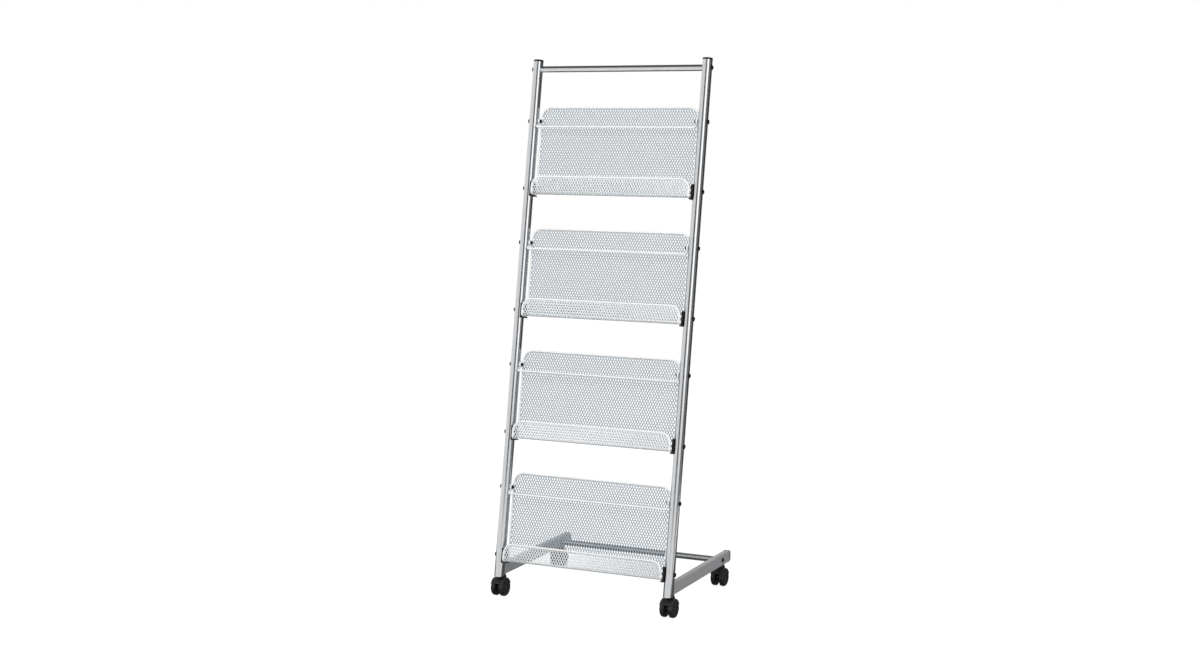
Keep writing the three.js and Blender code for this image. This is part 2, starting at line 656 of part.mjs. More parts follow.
// Pocket mesh: a thin sheet folded inside the rim, its four free corners rounded
function sheetSolid() {
  const inset = RIM_RADIUS + FIT;
  const half = RIM_X - inset;
  const top = POCKET_HEIGHT - RIM_RADIUS - inset;
  const lip = LIP_HEIGHT - RIM_RADIUS - inset;
  const corners = [
    [PANEL_SETBACK, top],
    [PANEL_SETBACK, RIM_RADIUS],
    [-LIP_FORWARD, RIM_RADIUS],
    [-LIP_FORWARD, lip],
  ].map(([y, z]) => new THREE.Vector3(y, z, 0));
  const folds = [0, FOLD_RADIUS, FOLD_RADIUS, 0];
  const line = roundedStations(corners, folds, [0, FOLD_STEPS, FOLD_STEPS, 0]);
  const inside = [];
  const outside = [];
  line.forEach((point, i) => {
    const before = line[Math.max(i - 1, 0)];
    const after = line[Math.min(i + 1, line.length - 1)];
    const along = after.clone().sub(before).normalize();
    const across = new THREE.Vector2(-along.y, along.x).multiplyScalar(SHEET_THICKNESS / 2);
    inside.push(new THREE.Vector2(point.x + across.x, point.y + across.y));
    outside.unshift(new THREE.Vector2(point.x - across.x, point.y - across.y));
  });
  let solid = solidOf(plateAcrossX(new THREE.Shape([...inside, ...outside]), 2 * half, 1));
  const panelCut = sheetCornerCut(half, top, PANEL_CORNER - inset, PANEL_SETBACK);
  const lipCut = sheetCornerCut(half, lip, LIP_BEND - inset, -LIP_FORWARD);
  for (const cut of [panelCut, lipCut]) {
    solid = solid.subtract(cut).subtract(cut.mirror([1, 0, 0]));
  }
  const bottom = RIM_RADIUS + FOLD_RADIUS;
  const diamonds = [
    ...diamondCutters(half, PANEL_SETBACK, bottom, top, MESH_PANEL_ROWS),
    ...diamondCutters(half, -LIP_FORWARD, bottom, lip, MESH_LIP_ROWS),
  ];
  return solid.subtract(solidOf(mergeGeometries(diamonds)));
}

// Retaining wire: an eyelet round each upper bolt, then forwards and across
function retainerSolid() {
  const slant = Math.hypot(RETAINER_DROP, RETAINER_FORWARD);
  const dip = Math.acos(EYELET_RADIUS / slant) - Math.atan2(RETAINER_FORWARD, RETAINER_DROP);
  const leave = 1.5 * Math.PI - dip;
  const turn = THREE.MathUtils.degToRad(EYELET_TURN_DEGREES);
  const turnSteps = 2 * CORNER_STEPS;
  const eyelet = [];
  for (let k = 0; k <= turnSteps; k += 1) {
    const angle = leave - turn + (turn * k) / turnSteps;
    const forward = EYELET_RADIUS * Math.cos(angle);
    eyelet.push(new THREE.Vector3(-EYELET_X, -forward, EYELET_RADIUS * Math.sin(angle)));
  }
  const corner = new THREE.Vector3(-EYELET_X, -RETAINER_FORWARD, -RETAINER_DROP);
  const middle = new THREE.Vector3(0, -RETAINER_FORWARD, -RETAINER_DROP);
  const run = [eyelet[turnSteps], corner, middle];
  const bend = roundedStations(run, [0, RETAINER_BEND, 0], [0, CORNER_STEPS, 0]);
  const leftHalf = [...eyelet, ...bend.slice(1, -1)];
  const rightHalf = leftHalf.map((p) => new THREE.Vector3(-p.x, p.y, p.z)).reverse();
  return solidOf(openWire([...leftHalf, ...rightHalf], RETAINER_DIAMETER));
}

function upperBoltSolid() {
  const nutSeat = EYELET_X - RETAINER_RADIUS - FIT;
  return solidOf(boltAt(OUTER_FACE + FIT, OUTER_FACE + FIT - nutSeat, NUT_HEIGHT));
}

// Lower bracket: a saddle against the upright with a ledge under the rim, and its bolt
function lowerBracketSolid() {
  const face = POCKET_HALF_WIDTH + FIT;
  const outside = INNER_FACE + BRACKET_WRAP;
  const half = BRACKET_DEPTH / 2;
  const underside = -FIT - LEDGE_THICKNESS;
  const saddle = block([face, -half, underside], [outside, half, BRACKET_HEIGHT]);
  const ledge = block([face - LEDGE_REACH, -half, underside], [outside, half, -FIT]);
  const room = uprightRoom().translate([HALF_SPACING, 0, 0]);
  const bolt = boltAt(OUTER_FACE + FIT, OUTER_FACE + FIT - face, NUT_HEIGHT);
  const seated = solidOf(saddle).add(solidOf(ledge)).subtract(room);
  return seated.add(solidOf(bolt.translate(0, 0, LOWER_BOLT_HEIGHT)));
}

for (let index = 0; index < POCKET_COUNT; index += 1) {
  const prefix = `pocket_${index + 1}`;
  const pocket = new THREE.Group();
  pocket.position.z = pocketBase(index);
  leaning.add(pocket);
  piece(pocket, `${prefix}_mesh`, sheetSolid(), meshSteel);
  piece(pocket, `${prefix}_rim`, rimSolid(), brightWire);
  const retainer = piece(pocket, `${prefix}_retaining_wire`, retainerSolid(), brightWire);
  retainer.position.z = UPPER_BOLT_HEIGHT;
  forEachSide((label, side) => {
    const bolt = piece(pocket, `${prefix}_upper_bolt_${label}`, onSide(upperBoltSolid(), side), blackSteel);
    bolt.position.z = UPPER_BOLT_HEIGHT;
    piece(pocket, `${prefix}_lower_bracket_${label}`, onSide(lowerBracketSolid(), side), blackPlastic);
  });
}

// The origin lies on the floor under the middle of the rack
const extent = new THREE.Box3().setFromObject(rack, true);
rack.position.y = -(extent.min.y + extent.max.y) / 2;

export default rack;
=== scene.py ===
"""Dresses a mobile display rack for periodicals.

Two leaning tube uprights stand on a castored base and carry four folded mesh pockets,
each with a wire rim and a retaining wire. Metres, +Z up, the front faces -Y.
Pieces that lean with the uprights are modelled upright and then laid back.
"""
import json
import math

import bmesh
import bpy
from bpy.props import FloatProperty, FloatVectorProperty, IntProperty, PointerProperty
from mathutils import Matrix, Vector


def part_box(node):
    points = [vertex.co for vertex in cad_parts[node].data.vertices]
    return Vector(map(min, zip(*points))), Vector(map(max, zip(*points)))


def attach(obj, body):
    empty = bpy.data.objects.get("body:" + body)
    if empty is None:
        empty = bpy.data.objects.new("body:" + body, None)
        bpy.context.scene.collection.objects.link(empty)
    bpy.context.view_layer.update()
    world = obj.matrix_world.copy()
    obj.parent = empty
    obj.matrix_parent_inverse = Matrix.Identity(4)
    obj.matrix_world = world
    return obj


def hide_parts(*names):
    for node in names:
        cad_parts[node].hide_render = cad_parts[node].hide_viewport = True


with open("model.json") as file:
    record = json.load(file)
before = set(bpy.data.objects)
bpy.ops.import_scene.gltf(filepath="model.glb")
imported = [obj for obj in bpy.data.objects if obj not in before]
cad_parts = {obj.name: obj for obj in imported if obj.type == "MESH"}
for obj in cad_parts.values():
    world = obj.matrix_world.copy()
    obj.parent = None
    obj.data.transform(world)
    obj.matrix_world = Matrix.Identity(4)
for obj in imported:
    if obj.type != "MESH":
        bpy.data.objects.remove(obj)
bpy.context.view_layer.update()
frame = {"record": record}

bl_info = {
    "name": "Periodical display rack",
    "version": (1, 0, 0),
    "blender": (4, 5, 0),
    "location": "View3D > Sidebar > Rack",
    "description": "Models the pieces of a mobile magazine rack over its CAD frame",
    "category": "Object",
}

MM = 0.001
SIDES = {"left": -1, "right": 1}
ENDS = ("front", "rear")
POCKETS = (1, 2, 3, 4)
FRAME_BODY = "rack_frame"
HALF_TURN = Matrix.Rotation(math.pi, 4, 'Z')
ALONG_X = Matrix.Rotation(math.pi / 2, 4, 'Y')
STANDING = Matrix.Rotation(math.pi / 2, 4, 'X')

# Limits for telling places, directions and edges apart; the last is in degrees
SAME_SPOT = 0.01 * MM
MERGE_DISTANCE = 0.001 * MM
ALIGNED = 0.999
FACING = 0.9
SHARP_EDGE = math.radians(45)
SMOOTH_BELOW = 35

# Facets round turned pieces and cutters
HEXAGON = 6
HOLE_SIDES = 24
PIN_SIDES = 32
HOOD_SIDES = 48
COPE_SIDES = 64
WHEEL_SIDES = 64
COVER_SIDES = 96


def middle(node):
    low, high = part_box(node)
    return (low + high) / 2


def extent(node):
    low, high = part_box(node)
    return high - low


def shift(x=0, y=0, z=0):
    return Matrix.Translation((x, y, z))


# Places and sizes that the CAD frame gives
MOUNTS = {mount["name"]: mount for mount in frame["record"]["mounts"]}
LEAN = math.asin(MOUNTS["pocket_1_floor"]["axis"][1])
UPRIGHT_LOW, UPRIGHT_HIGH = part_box("upright_right")
UPRIGHT_RADIUS = extent("upright_right").x / 2
HALF_SPACING = middle("upright_right").x
INNER_FACE = HALF_SPACING - UPRIGHT_RADIUS
ARM_LOW, ARM_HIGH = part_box("base_arm_right")
FOOT_Y = UPRIGHT_LOW.y + UPRIGHT_RADIUS / math.cos(LEAN)
LEANING = shift(y=FOOT_Y, z=ARM_LOW.z) @ Matrix.Rotation(-LEAN, 4, 'X')


def height_on_upright(node):
    return (LEANING.inverted() @ middle(node)).z


UPRIGHT_RISE = UPRIGHT_HIGH.z - ARM_LOW.z - UPRIGHT_RADIUS * math.sin(LEAN)
UPRIGHT_LENGTH = UPRIGHT_RISE / math.cos(LEAN)
RAIL_HEIGHT = height_on_upright("top_rail")
UPPER_BOLT_HEIGHTS = [height_on_upright(f"pocket_{i}_upper_bolt_right") for i in POCKETS]
WHEEL_WIDTH = extent("caster_front_right_wheel_left").x
WHEEL_RADIUS = extent("caster_front_right_wheel_left").z / 2
CASTER_TRAIL = middle("caster_front_right_stem").y - middle("caster_front_right_axle").y
AXLE_PLACE = shift(y=-CASTER_TRAIL, z=WHEEL_RADIUS)
HOOD_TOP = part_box("caster_front_right_hood")[1].z
HOOD_HALF_WIDTH = extent("caster_front_right_hood").x / 2
STEM_LOW, STEM_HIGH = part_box("caster_front_right_stem")


def length(label, description, millimetres):
    return FloatProperty(name=label, description=description, default=millimetres * MM,
                         unit='LENGTH', precision=4)


def angle(label, description, degrees):
    return FloatProperty(name=label, description=description, default=math.radians(degrees),
                         subtype='ANGLE')


def share(label, description, value):
    return FloatProperty(name=label, description=description, default=value,
                         min=0, max=1, subtype='FACTOR')


def level(label, description, value):
    return FloatProperty(name=label, description=description, default=value, min=0)


def power(label, description, watts):
    return FloatProperty(name=label, description=description, default=watts, min=0, unit='POWER')


def colour(label, description, value):
    return FloatVectorProperty(name=label, description=description, default=value,
                               size=3, min=0, max=1, subtype='COLOR')


def count(label, description, value):
    return IntProperty(name=label, description=description, default=value, min=3)


class RackFrameSizes(bpy.types.PropertyGroup):
    """Sizes of the tubes, arms and fasteners"""
    fit: length("Clearance", "Gap between neighbouring pieces", 0.3)
    snug: length("Snug gap", "Gap of pieces that are screwed or pressed together", 0.06)
    tube_wall: length("Tube wall", "Wall of the uprights, rail, arms and crossbar", 1.5)
    tube_sides: count("Tube sides", "Facets round a tube", 64)
    rail_diameter: length("Rail diameter", "Outside of the top rail", 16)
    cap_height: length("Cap height", "How far a cap stands above its upright", 5)
    cap_plug: length("Cap plug", "Depth of the cap's plug in the tube", 12)
    cap_edge: length("Cap edge", "Rounding of the cap's upper edge", 1.2)
    cap_crown: length("Cap crown", "Rise of the cap's top towards its middle", 0.3)
    arm_corner: length("Arm corner", "Rounding of the arm's long edges", 3)
    nose_gap: length("Nose gap", "Gap between the arm and its rear end cap", 0.09)
    nose_round: length("Nose rounding", "Rounding of the arm's rear end cap", 9)
    nose_edge: length("Nose edge", "Rounding of the end cap's other edges", 1.6)
    crossbar_insert: length("Crossbar insert", "Depth of the threaded insert", 20)
    bolt_diameter: length("Bolt diameter", "Shank of bolts and screws", 5)
    head_diameter: length("Head diameter", "Button head of bolts and screws", 11.5)
    head_height: length("Head height", "Height of a button head", 3)
    nut_diameter: length("Nut diameter", "Across the corners of a cap nut", 9)
    nut_height: length("Nut height", "Height of a cap nut", 4.5)
    nut_edge: length("Nut edge", "Rounding of the nut's hexagon", 0.25)


class RackPocketSizes(bpy.types.PropertyGroup):
    """Sizes of the mesh pockets and their wires"""
    height: length("Pocket height", "Panel from its floor to its upper edge", 226)
    lip_height: length("Lip height", "Front lip from the floor to its upper edge", 48)
    lip_forward: length("Lip forward", "Lip's distance in front of the uprights", 18)
    panel_setback: length("Panel setback", "Panel's distance behind the uprights", 10.1)
    rim_diameter: length("Rim diameter", "Wire round the sheet", 5.4)
    rim_reach: length("Rim reach", "From the middle of the rack to the rim's side runs", 213)
    panel_corner: length("Panel corner", "Bend of the rim at the panel's upper corners", 25)
    lip_corner: length("Lip corner", "Bend of the rim at the lip's upper corners", 24)
    fold_radius: length("Fold radius", "Bend between panel, floor and lip", 6)
    opening_width: length("Opening width", "Width of one diamond of the mesh", 7)
    opening_height: length("Opening height", "Height of one diamond of the mesh", 13)
    strand: length("Strand", "Width of a strand of the mesh", 1.8)
    sheet: length("Sheet", "Thickness of the mesh", 1.0)
    weld_depth: length("Weld depth", "How far the sheet stops short of the rim's middle", 1)
    upper_bolt: length("Upper bolt", "Upper bolt's height above the pocket floor", 187)
    lower_bolt: length("Lower bolt", "Lower bolt's height above the pocket floor", 17)
    retainer_diameter: length("Retainer diameter", "Wire across the front", 5)
    retainer_forward: length("Retainer forward", "How far the wire stands in front", 15.5)
    retainer_drop: length("Retainer drop", "How far the wire hangs below its bolts", 16)
    retainer_bend: length("Retainer bend", "Bend at the wire's front corners", 6)
    eyelet_radius: length("Eyelet radius", "Middle line of the eyelet round the bolt", 5.1)
    eyelet_turn: angle("Eyelet turn", "How far the eyelet goes round", 285)
    saddle_height: length("Saddle height", "Height of the lower saddle", 34)
    saddle_depth: length("Saddle depth", "Depth of the lower saddle, front to back", 26)
    saddle_web: length("Saddle web", "Saddle between the upright and the pocket", 1.4)
    saddle_wrap: length("Saddle wrap", "How far the saddle reaches round the upright", 4)
    saddle_edge: length("Saddle edge", "Rounding of the saddle's edges", 0.7)
    ledge_reach: length("Ledge reach", "How far the ledge reaches under the rim", 4)
    ledge_thickness: length("Ledge thickness", "Thickness of the ledge", 2.5)


class RackCasterSizes(bpy.types.PropertyGroup):
    """Sizes of the casters"""
    running_fit: length("Running fit", "Room round an axle or a pivot", 0.15)
    shoulder: length("Shoulder", "Rounding of the wheel's outer edge", 5)
    inner_edge: length("Inner edge", "Rounding of the wheel's inner edge", 1.5)
    dish: length("Dish", "Depth of the wheel's outer face", 1.5)
    wheel_gap: length("Wheel gap", "Room between the hood's core and a wheel", 0.5)
    wheel_hub: length("Wheel hub", "Wall of the wheel's hub round its bore", 3.4)
    axle_diameter: length("Axle diameter", "Steel axle", 6)
    pivot_diameter: length("Pivot diameter", "Pin that the hood swivels on", 6)
    stem_diameter: length("Stem diameter", "Stem pressed into the arm", 8)
    collar_diameter: length("Collar diameter", "Collar between hood and arm", 13)
    collar_height: length("Collar height", "Height of the collar", 2.2)
    core_width: length("Core width", "Hood between the wheels", 11)
    core_round: length("Core rounding", "Rounding of the core's corners", 3)
    core_drop: length("Core drop", "How far the core stops below the hood's top", 4)
    hub_radius: length("Hub radius", "Hood round the axle", 9)
    neck_wall: length("Neck wall", "Hood round the pivot", 3.2)
    cover_gap: length("Cover gap", "Room between wheel and cover", 1)
    cover_wall: length("Cover wall", "Wall of the cover", 2)
    cover_round: length("Cover rounding", "Rounding of the cover's outer edges", 4.5)
    cover_start: angle("Cover start", "Rear end of the cover", 18)
    cover_end: angle("Cover end", "Front end of the cover", 150)


class RackFinishes(bpy.types.PropertyGroup):
    """Colours and gloss of the finishes"""
    silver: colour("Silver lacquer", "Uprights, rail and crossbar", (0.62, 0.63, 0.645))
    silver_roughness: share("Silver roughness", "Gloss of the silver lacquer", 0.17)
    grey: colour("Grey lacquer", "Base arms", (0.34, 0.344, 0.352))
    grey_roughness: share("Grey roughness", "Gloss of the grey lacquer", 0.5)
    wire: colour("Wire lacquer", "Rims and retaining wires", (0.95, 0.955, 0.96))
    wire_roughness: share("Wire roughness", "Gloss of the wire lacquer", 0.3)
    mesh: colour("Mesh lacquer", "Panels of the mesh", (0.385, 0.44, 0.485))
    # Painted light: the lip tint is a lighter copy of the mesh lacquer for the floors and lips,
    # standing in for the brighter light on the front of each pocket
    lip: colour("Lip lacquer", "Brighter floors and lips of the mesh", (0.88, 0.91, 0.93))
    mesh_roughness: share("Mesh roughness", "Gloss of the mesh lacquer", 0.42)
    black_plastic: colour("Black plastic", "Caps and saddles", (0.007, 0.007, 0.008))
    caster_plastic: colour("Caster plastic", "Hoods and wheels", (0.016, 0.016, 0.017))
    black_steel: colour("Black steel", "Bolts, screws and nuts", (0.009, 0.009, 0.01))
    pin_steel: colour("Turned steel", "Caster stems and axles", (0.52, 0.525, 0.535))
    grey_plastic: colour("Grey plastic", "Rear end caps of the arms", (0.16, 0.163, 0.168))


class RackStageSettings(bpy.types.PropertyGroup):
    """Level of the studio's light"""
    ambient: level("Ambient", "Light from all round", 0.6)
    softbox: power("Softbox", "Power of the lamp right of the camera", 12)
    key: power("Key", "Power of the lamp high on the left", 52)
    fill: power("Fill", "Power of the lamp on the right", 22)
    rear: power("Rear", "Power of the lamp behind the rack", 26)
    floor: colour("Floor", "Colour of the studio floor", (0.4, 0.4, 0.4))
    floor_glow: level("Floor glow", "White that the floor adds where it is seen", 1.8)
    shadow: share("Shadow", "How much of the floor's own shading shows", 0.5)


# Modelling steps that the pieces share

def clear_selection():
    if bpy.context.mode != 'OBJECT':
        bpy.ops.object.mode_set(mode='OBJECT')
    bpy.ops.object.select_all(action='DESELECT')


def pick(*pieces):
    clear_selection()
    for piece in pieces:
        piece.select_set(True)
    bpy.context.view_layer.objects.active = pieces[0]


def edit_all(piece):
    pick(piece)
    bpy.ops.object.mode_set(mode='EDIT')
    bpy.ops.mesh.select_mode(type='VERT')
    bpy.ops.mesh.select_all(action='SELECT')


def leave_edit():
    bpy.ops.object.mode_set(mode='OBJECT')


def start(primitive, name, **sizes):
    """A new primitive with its place in its mesh, in edit mode and selected all over."""
    clear_selection()
    primitive(**sizes)
    piece = bpy.context.object
    piece.name = piece.data.name = name
    bpy.ops.object.transform_apply(location=True, rotation=True, scale=True)
    edit_all(piece)
    return piece


def start_block(name, low, high):
    return start(bpy.ops.mesh.primitive_cube_add, name, size=1, scale=high - low,
                 location=(low + high) / 2)


def select_where(piece, kind, wanted):
    """Selects the wanted ones among the VERT, EDGE or FACE elements of the piece being edited."""
    bpy.ops.mesh.select_mode(type=kind)
    bpy.ops.mesh.select_all(action='DESELECT')
    shape = bmesh.from_edit_mesh(piece.data)
    for element in {'VERT': shape.verts, 'EDGE': shape.edges, 'FACE': shape.faces}[kind]:
        if wanted(element):
            element.select_set(True)
    if kind == 'VERT':
        shape.select_flush(True)
    bmesh.update_edit_mesh(piece.data)


def select_spots(piece, spots):
    select_where(piece, 'VERT',
                 lambda vertex: min((vertex.co - spot).length for spot in spots) < SAME_SPOT)


def runs_along(edge, axis):
    return abs((edge.verts[1].co - edge.verts[0].co).normalized()[axis]) > ALIGNED


def extrude(move):
    bpy.ops.mesh.extrude_region_move(TRANSFORM_OT_translate={"value": move})


def close_up():
    """Merges doubles and points the faces of the mesh being edited outwards."""
    bpy.ops.mesh.select_all(action='SELECT')
    bpy.ops.mesh.remove_doubles(threshold=MERGE_DISTANCE)
    bpy.ops.mesh.normals_make_consistent(inside=False)
    leave_edit()


def apply_modifier(piece, kind, **settings):
    pick(piece)
    modifier = piece.modifiers.new(kind.title(), kind)
    for name, value in settings.items():
        setattr(modifier, name, value)
    bpy.ops.object.modifier_apply(modifier=modifier.name)


def thicken(piece, wall, offset=-1):
    apply_modifier(piece, 'SOLIDIFY', thickness=wall, offset=offset)


def round_edges(piece, width, segments):
    apply_modifier(piece, 'BEVEL', width=width, segments=segments, limit_method='ANGLE',
                   angle_limit=SHARP_EDGE, miter_outer='MITER_ARC')


def combine(piece, tool, operation):
    """Cuts a tool out of a piece, or joins it on, and deletes the tool."""
    apply_modifier(piece, 'BOOLEAN', object=tool, operation=operation, solver='EXACT')
    bpy.data.objects.remove(tool)


def cut_out(piece, cutters):
    pick(*cutters)
    bpy.ops.object.join()
    combine(piece, bpy.context.object, 'DIFFERENCE')


def place(piece, matrix):
    pick(piece)
    piece.matrix_world = matrix @ piece.matrix_world
    bpy.ops.object.transform_apply(location=True, rotation=True, scale=True)
    return piece


def copy_to(piece, name, matrix):
    """A copy with a mesh of its own, moved to its place."""
    pick(piece)
    bpy.ops.object.duplicate(linked=False)
    twin = bpy.context.object
    twin.name = twin.data.name = name
    return place(twin, matrix)


def discard(piece):
    pick(piece)
    bpy.ops.object.delete()


def turned(name, outline, sides, ends='FILLED'):
    """A piece turned about Z from (radius, height) pairs; its ends are FILLED, OPEN or a LOOP."""
    radius, height = outline[0]
    piece = start(bpy.ops.mesh.primitive_circle_add, name, vertices=sides, radius=radius,
                  location=(0, 0, height))
    for next_radius, next_height in outline[1:]:
        extrude((0, 0, next_height - height))
        scale = next_radius / radius
        bpy.ops.transform.resize(value=(scale, scale, 1), center_override=(0, 0, 0))
        radius, height = next_radius, next_height
    if ends == 'FILLED':
        bpy.ops.mesh.select_all(action='DESELECT')
        bpy.ops.mesh.select_non_manifold()
        bpy.ops.mesh.fill_holes(sides=0)
    close_up()
    return piece


def arc(centre, radius, first, last, steps):
    """(radius, height) pairs along an arc, between two angles in degrees."""
    turns = [math.radians(first + (last - first) * k / steps) for k in range(steps + 1)]
    return [(centre[0] + radius * math.cos(a), centre[1] + radius * math.sin(a)) for a in turns]


def rod(name, radius, matrix, reach, sides=PIN_SIDES):
    """A plain round cutter about Z, or where the matrix puts it."""
    return place(turned(name, [(radius, -reach), (radius, reach)], sides), matrix)


def bent_wire(name, corners, bends, diameter, closed):
    """A round wire along straight runs; bends holds (radius, steps) for a corner's index."""
    corners = [Vector(corner) for corner in corners]
    piece = start(bpy.ops.mesh.primitive_plane_add, name, size=MM)
    bpy.ops.mesh.merge(type='CENTER')
    bpy.ops.transform.translate(value=corners[0])
    for before, after in zip(corners, corners[1:]):
        extrude(after - before)
    if closed:
        select_spots(piece, (corners[0], corners[-1]))
        bpy.ops.mesh.edge_face_add()
    for radius, steps in sorted(set(bends.values())):
        select_spots(piece, [corners[i] for i, bend in bends.items() if bend == (radius, steps)])
        bpy.ops.mesh.bevel(offset=radius, segments=steps, affect='VERTICES')
    leave_edit()
    bpy.ops.object.convert(target='CURVE')
    path = piece.data
    path.dimensions = '3D'
    path.fill_mode = 'FULL'
    path.bevel_depth = diameter / 2
    path.bevel_resolution = 4
    path.use_fill_caps = not closed
    bpy.ops.object.convert(target='MESH')
    edit_all(piece)
    close_up()
    return piece


# Finishes

def set_inputs(tree, node, inputs):
    """Gives a node's inputs their values, or links them to other nodes' outputs."""
    for name, given in inputs.items():
        if isinstance(given, bpy.types.NodeSocket):
            tree.links.new(given, node.inputs[name])
        else:
            node.inputs[name].default_value = given


def add_node(tree, kind, inputs):
    node = tree.nodes.new(f"ShaderNode{kind}")
    set_inputs(tree, node, inputs)
    return node


class Finish:
    """A material under construction: its nodes, and their links to the shader."""
    pattern_low = 0.3
    pattern_high = 0.7

    def __init__(self, name, tint, roughness, metallic):
        self.base, self.roughness = tint, roughness
        self.material = bpy.data.materials.new(name)
        self.material.use_nodes = True
        self.tree = self.material.node_tree
        self.place = self.tree.nodes.new("ShaderNodeTexCoord").outputs["Object"]
        self.set_shader({"Metallic": metallic})

    def set_shader(self, inputs):
        set_inputs(self.tree, self.tree.nodes["Principled BSDF"], inputs)

    def noise(self, scale, detail, stretch=None):
        spot = self.place
        if stretch:
            spot = add_node(self.tree, "Mapping", {"Vector": spot, "Scale": stretch}).outputs[0]
        grain = {"Vector": spot, "Scale": scale, "Detail": detail}
        return add_node(self.tree, "TexNoise", grain).outputs["Fac"]

    def cells(self, scale):
        grain = {"Vector": self.place, "Scale": scale}
        return add_node(self.tree, "TexVoronoi", grain).outputs["Distance"]

    def tint(self, pattern, darkest, lightest):
        """The pattern runs the colour between two shares of the base tint."""
        ramp = add_node(self.tree, "ValToRGB", {"Fac": pattern})
        ends = ((self.pattern_low, darkest), (self.pattern_high, lightest))
        for element, (position, factor) in zip(ramp.color_ramp.elements, ends):
            element.position = position
            element.color = (*(min(1.0, channel * factor) for channel in self.base), 1)
        self.set_shader({"Base Color": ramp.outputs["Color"]})

    def gloss(self, pattern, less, more):
        """The pattern runs the roughness from less to more than the base."""
        span = add_node(self.tree, "MapRange", {
            "Value": pattern, "From Min": self.pattern_low, "From Max": self.pattern_high,
            "To Min": self.roughness - less, "To Max": self.roughness + more})
        self.set_shader({"Roughness": span.outputs["Result"]})

    def relief(self, pattern, depth, strength):
        bump = add_node(self.tree, "Bump", {
            "Height": pattern, "Distance": depth, "Strength": strength})
        self.set_shader({"Normal": bump.outputs["Normal"]})


def lacquer(name, tint, roughness, metallic):
    """Sprayed lacquer over steel: soft unevenness in gloss and a slight orange peel."""
    finish = Finish(name, tint, roughness, metallic)
    finish.tint(finish.noise(scale=35, detail=4), darkest=0.96, lightest=1.03)
    finish.gloss(finish.noise(scale=60, detail=5), less=0.04, more=0.05)
    finish.relief(finish.noise(scale=850, detail=2), depth=0.02 * MM, strength=0.25)
    return finish.material


def moulded(name, tint, roughness, shine):
    """Moulded plastic with a fine grain and faint scuffs."""
    finish = Finish(name, tint, roughness, 0)
    finish.set_shader({"Specular IOR Level": shine})
    finish.tint(finish.noise(scale=90, detail=6), darkest=0.85, lightest=1.3)
    finish.gloss(finish.noise(scale=140, detail=5), less=0.06, more=0.08)
    finish.relief(finish.cells(scale=1600), depth=0.04 * MM, strength=0.3)
    return finish.material


def blackened(name, tint, roughness, metallic):
    """Blackened steel of fasteners: dark, a little patchy, half gloss."""
    finish = Finish(name, tint, roughness, metallic)
    finish.tint(finish.noise(scale=260, detail=5), darkest=0.7, lightest=1.5)
    finish.gloss(finish.noise(scale=420, detail=4), less=0.06, more=0.08)
    finish.relief(finish.noise(scale=2400, detail=2), depth=0.01 * MM, strength=0.3)
    return finish.material


def machined(name, tint, roughness, metallic):
    """Turned steel with fine rings across its axis."""
    finish = Finish(name, tint, roughness, metallic)
    finish.tint(finish.noise(scale=120, detail=4), darkest=0.9, lightest=1.08)
    finish.gloss(finish.noise(scale=300, detail=3, stretch=(1, 1, 12)), less=0.06, more=0.06)
    rings = finish.noise(scale=500, detail=2, stretch=(1, 1, 9))
    finish.relief(rings, depth=0.01 * MM, strength=0.35)
    return finish.material


def finish_for(slot):
    """The material of a record slot, or a variant of one, made when it is first asked for."""
    name, tints = f"rack_{slot}", bpy.context.scene.rack_finishes
    made = bpy.data.materials.get(name)
    if made:
        return made
    # Maker, tint, roughness, and then how metallic it is or how a plastic shines
    recipes = {
        "silver_paint": (lacquer, tints.silver, tints.silver_roughness, 1),
        "grey_paint": (lacquer, tints.grey, tints.grey_roughness, 0.1),
        "bright_wire": (lacquer, tints.wire, tints.wire_roughness, 0.1),
        "mesh_steel": (lacquer, tints.mesh, tints.mesh_roughness, 0.2),
        # Painted light: a lighter copy of the mesh lacquer, for the floors and lips of the pockets
        "lip_steel": (lacquer, tints.lip, tints.mesh_roughness, 0.2),
        "black_plastic": (moulded, tints.black_plastic, 0.42, 0.3),
        "caster_plastic": (moulded, tints.caster_plastic, 0.4, 0.5),
        "grey_plastic": (moulded, tints.grey_plastic, 0.5, 0.3),
        "black_steel": (blackened, tints.black_steel, 0.36, 0.4),
        "pin_steel": (machined, tints.pin_steel, 0.3, 1),
    }
    recipe, *settings = recipes[slot]
    return recipe(name, *settings)


# Finished pieces and their places

def settle(piece, slot, node=None, body=FRAME_BODY, smooth=SMOOTH_BELOW, finish=None):
    """Finishes a piece: shading, material, the body it rides on and the node it stands for."""
    pick(piece)
    bpy.ops.object.shade_smooth_by_angle(angle=math.radians(smooth))
    piece.data.materials.clear()
    piece.data.materials.append(finish_for(finish or slot))
    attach(piece, body)
    if node:
        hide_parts(node)


def spread(master, slot, places, smooth=SMOOTH_BELOW, flat_sided=False):
    """Finished copies of a master at each (piece, place, node); the master is discarded."""
    twins = []
    for name, matrix, node in places:
        twin = copy_to(master, name, matrix)
        settle(twin, slot, node, smooth=smooth)
        if flat_sided:
            apply_modifier(twin, 'WEIGHTED_NORMAL', keep_sharp=True)
        twins.append(twin)
    discard(master)
    return twins


def outwards(side):
    """Turns a piece drawn for the right side to face outwards on its own side."""
    return HALF_TURN if side == "left" else Matrix()


def across(side):
    """Moves a piece drawn on the right side over to its own side."""
    return shift((SIDES[side] - 1) * HALF_SPACING)


def on_upright(side, height=0):
    """Where a piece drawn about the upright's axis goes, turned round on the left."""
    return LEANING @ shift(SIDES[side] * HALF_SPACING, 0, height) @ outwards(side)


def both_sides(piece, node, place_on):
    return [(f"{piece}_{side}", place_on(side), node and f"{node}_{side}") for side in SIDES]


def each_pocket(piece, node, heights):
    return [(f"pocket_{number}_{piece}", LEANING @ shift(z=height), f"pocket_{number}_{node}")
            for number, height in zip(POCKETS, heights)]


def pocket_floors(pockets):
    return [height - pockets.upper_bolt for height in UPPER_BOLT_HEIGHTS]


